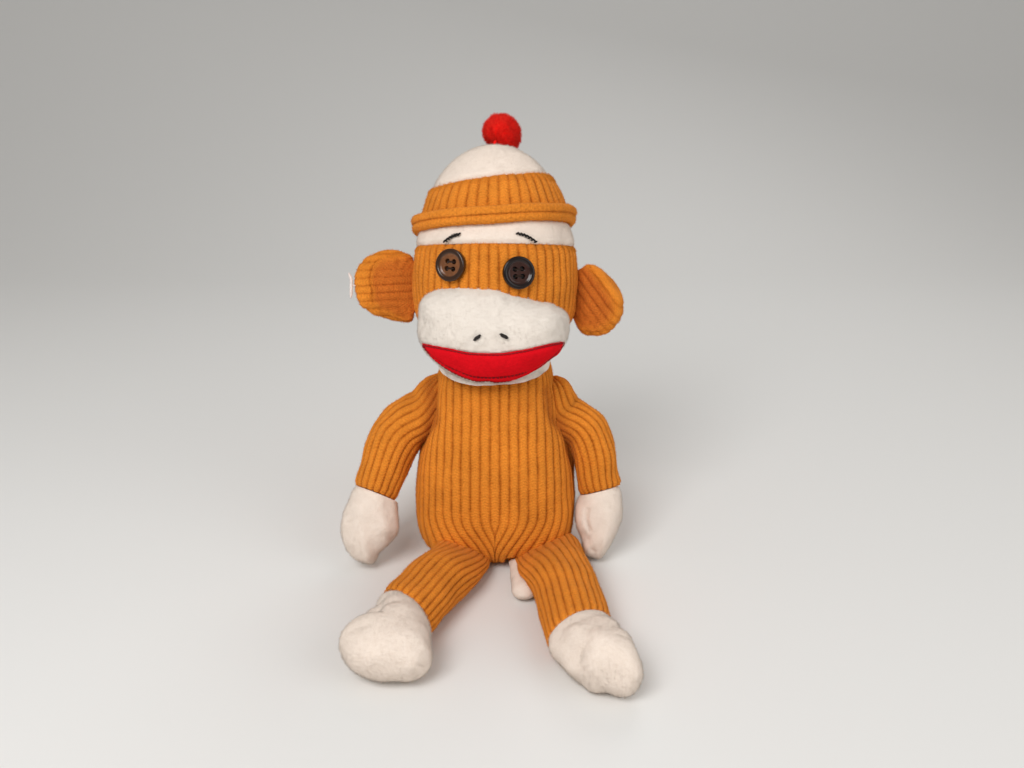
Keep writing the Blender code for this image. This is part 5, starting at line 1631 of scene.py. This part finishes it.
class SOCKMONKEY_OT_legs(bpy.types.Operator):
    """Dress the legs in rib knit and the feet in plush"""

    bl_idname = "sock_monkey.legs"
    bl_label = "Legs and feet"

    def execute(self, context):
        s = settings()
        for side in (1, -1):
            self.leg(s, side)
        return {"FINISHED"}

    def leg(self, s, side):
        """A leg: ovals carried from a flat seam to the ankle, filling out to a round shin, then a boot."""
        label, body = ("left", "left_leg") if side > 0 else ("right", "right_leg")
        flat, normal, ahead = hip_plane(side)
        pivot = flat + normal * (GAP + 0.001)
        out, front = (0.0360, 0.0880) if side > 0 else (0.0370, 0.0790)
        height = 0.0235 / 2 - 0.0005
        ankle = np.array([side * out, -front, height])
        reach = np.linalg.norm(ankle - pivot)
        bend = pivot + (ankle - pivot) * 0.60 + ahead * reach * 0.02
        root = pivot + np.array([-0.0033 if side > 0 else 0.0, 0, 0])
        way = np.array([0.113, -0.994, 0.0] if side > 0 else [-0.401, -0.916, 0.0])
        beyond = ankle + way * (0.0160 if side > 0 else 0.0130)
        path = smooth_path(
            (root - ahead * 0.007, root + ahead * reach * 0.20, bend, ankle, beyond), 120
        )
        seam = ("torso", body, tuple(pivot - ahead * 0.001), tuple(pivot + ahead * 0.016))
        along = np.linspace(0, 1, len(path))
        stations = (0.0, 0.06, 0.14, 0.28, 0.5, 0.8, 1.0)
        thigh = (0.0145, 0.0160, 0.0166, 0.0164, 0.0151) if side > 0 else (
            0.0112, 0.0130, 0.0138, 0.0142, 0.0143
        )
        half_wide = smooth(along, stations, (*thigh, 0.0146, 0.0146))
        full = smooth(along, stations, (0.38, 0.52, 0.70, 0.90, 1.0, 0.92, 0.84))
        half_tall = 0.001 + (0.01175 - 0.001) * full
        path[:, 2] = pivot[2] + (height - pivot[2]) * full
        heading = unit(np.gradient(path * (1, 1, 0), axis=0))
        wide = unit(np.cross(heading, (0.0, 0.0, 1.0)))
        tall = np.tile((0.0, 0.0, 1.0), (len(path), 1))
        count, turn = rib_turns(24)
        points = rings(path, wide, tall, half_wide, half_tall, turn)
        rib = np.broadcast_to(rib_shape(count), points.shape[:2])
        lift = s.ridge_height * (rib - 0.7) + 0.0005 * lumps(points, 0.018, 91 + side)
        points = points + outward(points) * lift[..., None]
        inner = side * ((points - path[:, None]) * wide[:, None]).sum(-1)
        sunk = ease(along, 0.46, 0.02)[:, None] * np.clip(0.22 + 19 * inner, 0, 0.5)
        points[..., 2] = np.maximum(points[..., 2] * (1 - sunk), 0)
        place, face = ankle_seam(side)
        points = sewn(points, place, face, way, 0.0007)
        knitted(
            label + "_leg_skin", points, seam, label + "_leg", rib, stitch_map(points, count, STITCH)
        )
        fuzz(label + "_leg_fuzz", points, seam, 93, comb=(0, 0, 0))
        self.foot(side, label, body, ankle, way)

    def foot(self, side, label, body, ankle, way):
        """A boot on its side: a stuffed bag with its own outline, run into a round ankle and creased."""
        across = np.cross(way, (0.0, 0.0, 1.0)) * -side
        across = across * (1 if across[0] * side > 0 else -1)
        outline = LEFT_FOOT if side > 0 else RIGHT_FOOT
        reach, aside = (0.0296, 0.0046) if side > 0 else (0.0251, -0.0047)
        neck = [((-aside, -reach * 0.70, -0.0012), (0.0146, reach * 0.90, 0.0108))]
        off = stuffed(ball_ways(110, 150), outline, 0.0129, 2.3, neck, 16.0)
        off = off + unit(off) * (0.0005 * lumps(off, 0.015, 101 + side))[..., None]
        points = ankle + way * reach + across * aside + off @ np.stack(
            [across, way, np.array([0, 0, 1.0])]
        )
        points[..., 2] += 0.0010
        for line, depth, width in FOOT_CREASES[side]:
            points = creased(points, line, depth, width)
        points[..., 2] -= points[..., 2].min() + 0.0005
        place, face = ankle_seam(side)
        points = sewn(points, place + face * GAP, -face, -way, 0.0006)
        points[..., 2] = np.maximum(points[..., 2], 0)
        plush(label + "_foot_skin", points, body, label + "_foot")
        keep = (((points - place) @ face > 0.0008) & (points[..., 2] > 0.0005)) * 1.0
        plush_pile(label + "_foot_pile", points, body, 103, comb=(0, 0, 0), keep=keep)


def ankle_seam(side):
    """A point on the slanting seam between leg and boot, and the seam's normal towards the toes."""
    if side > 0:
        return np.array([0.0388, -0.0945, 0.0]), np.array([0.469, -0.883, 0.0])
    return np.array([-0.0385, -0.0821, 0.0]), np.array([-0.664, -0.748, 0.0])


def sewn(points, place, face, way, tuck):
    """Ends a skin at a plane: what is beyond is brought back along the way, and its rim drawn in by tuck."""
    beyond = (points - place) @ face
    near = np.exp(-((np.minimum(beyond, 0) / 0.0016) ** 2))
    middle = (points * near[..., None]).sum((0, 1)) / near.sum()
    inward = points - middle
    inward = unit(inward - (inward @ face)[..., None] * face)
    points = points - inward * (near * tuck)[..., None]
    beyond = np.maximum((points - place) @ face, 0)
    return points - (beyond / (face @ way))[..., None] * way


class SOCKMONKEY_OT_tail(bpy.types.Operator):
    """Make the tail that the doll sits on, with its white tip"""

    bl_idname = "sock_monkey.tail"
    bl_label = "Tail"

    def execute(self, context):
        path, wide, tall = tail_path(150)
        count, turn = rib_turns(8)
        ahead = unit(np.gradient(path, axis=0))
        across = np.tile((1.0, 0.0, 0.0), (len(path), 1))
        up = unit(np.cross(ahead, across))
        rib = np.broadcast_to(rib_shape(count), (len(path), len(turn)))
        split = -0.0272
        lower, upper = path[:, 1] > split - 0.0015, path[:, 1] < split + 0.0015
        points = rings(path, across, up, wide - 0.0003, tall - 0.0003, turn)
        knit = points + outward(points) * (0.0004 * (rib - 0.8))[..., None]
        knit[..., 2] = np.maximum(knit[..., 2], 0)
        knit = push_off(knit[lower], (0, split, 0), (0, -1, 0))
        knitted("tail_skin", knit, "tail", "tail", rib[lower], stitch_map(knit, count, FINE_STITCH))
        tip = points[upper] + outward(points[upper]) * (0.0002 * lumps(points[upper], 0.008, 111))[..., None]
        tip[..., 2] = np.maximum(tip[..., 2], 0)
        tip = push_off(tip, (0, split - GAP, 0), (0, 1, 0))
        plush("tail_tip_skin", tip, "tail", "tail_tip")
        keep = (tip[..., 1] < -0.036) * 1.0
        plush_pile("tail_tip_pile", tip, "tail", 112, longer=0.8, comb=(0, 0, 0), keep=keep)
        return {"FINISHED"}


class SOCKMONKEY_OT_fastener(bpy.types.Operator):
    """Make the small plastic bar at the right ear's edge"""

    bl_idname = "sock_monkey.fastener"
    bl_label = "Fastener bar"

    def execute(self, context):
        pivot, out, tall, front = ear_frame(-1)
        middle = pivot + out * 0.0125
        turn = np.linspace(0, 1, 24)
        a = smooth(turn, (0, 0.3, 1), (0.0182, 0.0170, 0.0173))
        b = 0.0078 - 0.0124 * turn
        bar = middle + a[:, None] * out + b[:, None] * tall + front * 0.0008
        reach = np.linspace(0.0135, 0.0172, 8)
        stem = middle + reach[:, None] * out + tall * 0.0016 + front * 0.0008
        white = plain_finish("fastener_plastic", (0.86, 0.74, 0.68), 0.35, grain=900.0)
        bar_made = thread("fastener_bar", [bar], 0.00075, white, "right_ear", 12)
        stem_made = thread("fastener_stem", [stem], 0.00035, white, "right_ear", 8)
        return {"FINISHED"}


class SOCKMONKEY_OT_stage(bpy.types.Operator):
    """Set the floor with its backdrop, soft lamps, the even sky and the camera"""

    bl_idname = "sock_monkey.stage"
    bl_label = "Stage"

    def execute(self, context):
        s = settings()
        scene = context.scene
        bend = np.linspace(0, math.pi / 2, 24)
        y = np.concatenate([[-2.0, 0.6], 0.6 + 0.9 * np.sin(bend), [1.5]])
        z = np.concatenate([[0.0, 0.0], 0.9 * (1 - np.cos(bend)), [3.5]])
        x = np.array([-3.0, 3.0])
        grid = np.stack(np.broadcast_arrays(x[None, :], y[:, None], z[:, None]), axis=-1)
        quads = cells(grid_index(grid))
        n = Nodes("floor_paper")
        n.finish((*s.floor_colour[:3], 1), 0.9)
        floor = put("floor", grid.reshape(-1, 3), quads.tolist(), n.material, None)
        self.lamp("key_lamp", (-0.30, -0.62, 0.70), 0.45, s.key_power)
        self.lamp("fill_lamp", (0.65, -0.45, 0.45), 0.6, s.key_power * 0.30)
        self.lamp("back_lamp", (0.25, 0.70, 0.80), 0.5, s.key_power * 0.35)
        world = bpy.data.worlds.new("even_sky")
        world.use_nodes = True
        world.node_tree.nodes["Background"].inputs["Color"].default_value = (1.0, 0.99, 0.97, 1)
        world.node_tree.nodes["Background"].inputs["Strength"].default_value = 0.39
        scene.world = world
        camera = bpy.data.objects.new("camera", bpy.data.cameras.new("camera"))
        camera.data.sensor_width = 36.0
        camera.data.lens = CAMERA_LENS
        camera.data.clip_start = 0.01
        camera.location = CAMERA_PLACE
        camera.rotation_euler = (CAMERA_PITCH, 0, 0)
        scene.collection.objects.link(camera)
        scene.camera = camera
        scene.view_settings.view_transform = "Standard"
        return {"FINISHED"}

    def lamp(self, name, place, size, power):
        """A square lamp aimed at the doll's chest."""
        data = bpy.data.lights.new(name, "AREA")
        data.energy, data.size = power, size
        made = bpy.data.objects.new(name, data)
        made.location = place
        made.rotation_euler = (Vector((0, 0, 0.09)) - Vector(place)).to_track_quat("-Z", "Y").to_euler()
        bpy.context.scene.collection.objects.link(made)


OPERATORS = (
    SOCKMONKEY_OT_torso,
    SOCKMONKEY_OT_head,
    SOCKMONKEY_OT_hat,
    SOCKMONKEY_OT_pompom,
    SOCKMONKEY_OT_muzzle,
    SOCKMONKEY_OT_mouth,
    SOCKMONKEY_OT_eyes,
    SOCKMONKEY_OT_ears,
    SOCKMONKEY_OT_arms,
    SOCKMONKEY_OT_legs,
    SOCKMONKEY_OT_tail,
    SOCKMONKEY_OT_fastener,
    SOCKMONKEY_OT_stage,
)


class SOCKMONKEY_PT_panel(bpy.types.Panel):
    """Lists the doll's pieces and its settings"""

    bl_idname = "SOCKMONKEY_PT_panel"
    bl_label = "Sock Monkey Doll"
    bl_space_type = "VIEW_3D"
    bl_region_type = "UI"
    bl_category = "Sock Monkey"

    def draw(self, context):
        values = context.scene.sock_monkey
        for key in values.__annotations__:
            self.layout.prop(values, key)
        for operator in OPERATORS:
            self.layout.operator(operator.bl_idname)


def register():
    bpy.utils.register_class(SockMonkeySettings)
    bpy.types.Scene.sock_monkey = bpy.props.PointerProperty(type=SockMonkeySettings)
    for operator in OPERATORS:
        bpy.utils.register_class(operator)
    bpy.utils.register_class(SOCKMONKEY_PT_panel)


def unregister():
    bpy.utils.unregister_class(SOCKMONKEY_PT_panel)
    for operator in reversed(OPERATORS):
        bpy.utils.unregister_class(operator)
    del bpy.types.Scene.sock_monkey
    bpy.utils.unregister_class(SockMonkeySettings)


def main():
    register()
    bpy.ops.sock_monkey.torso()
    bpy.ops.sock_monkey.head()
    bpy.ops.sock_monkey.hat()
    bpy.ops.sock_monkey.pompom()
    bpy.ops.sock_monkey.muzzle()
    bpy.ops.sock_monkey.mouth()
    bpy.ops.sock_monkey.eyes()
    bpy.ops.sock_monkey.ears()
    bpy.ops.sock_monkey.arms()
    bpy.ops.sock_monkey.legs()
    bpy.ops.sock_monkey.tail()
    bpy.ops.sock_monkey.fastener()
    bpy.ops.sock_monkey.stage()


if __name__ == "__main__":
    main()
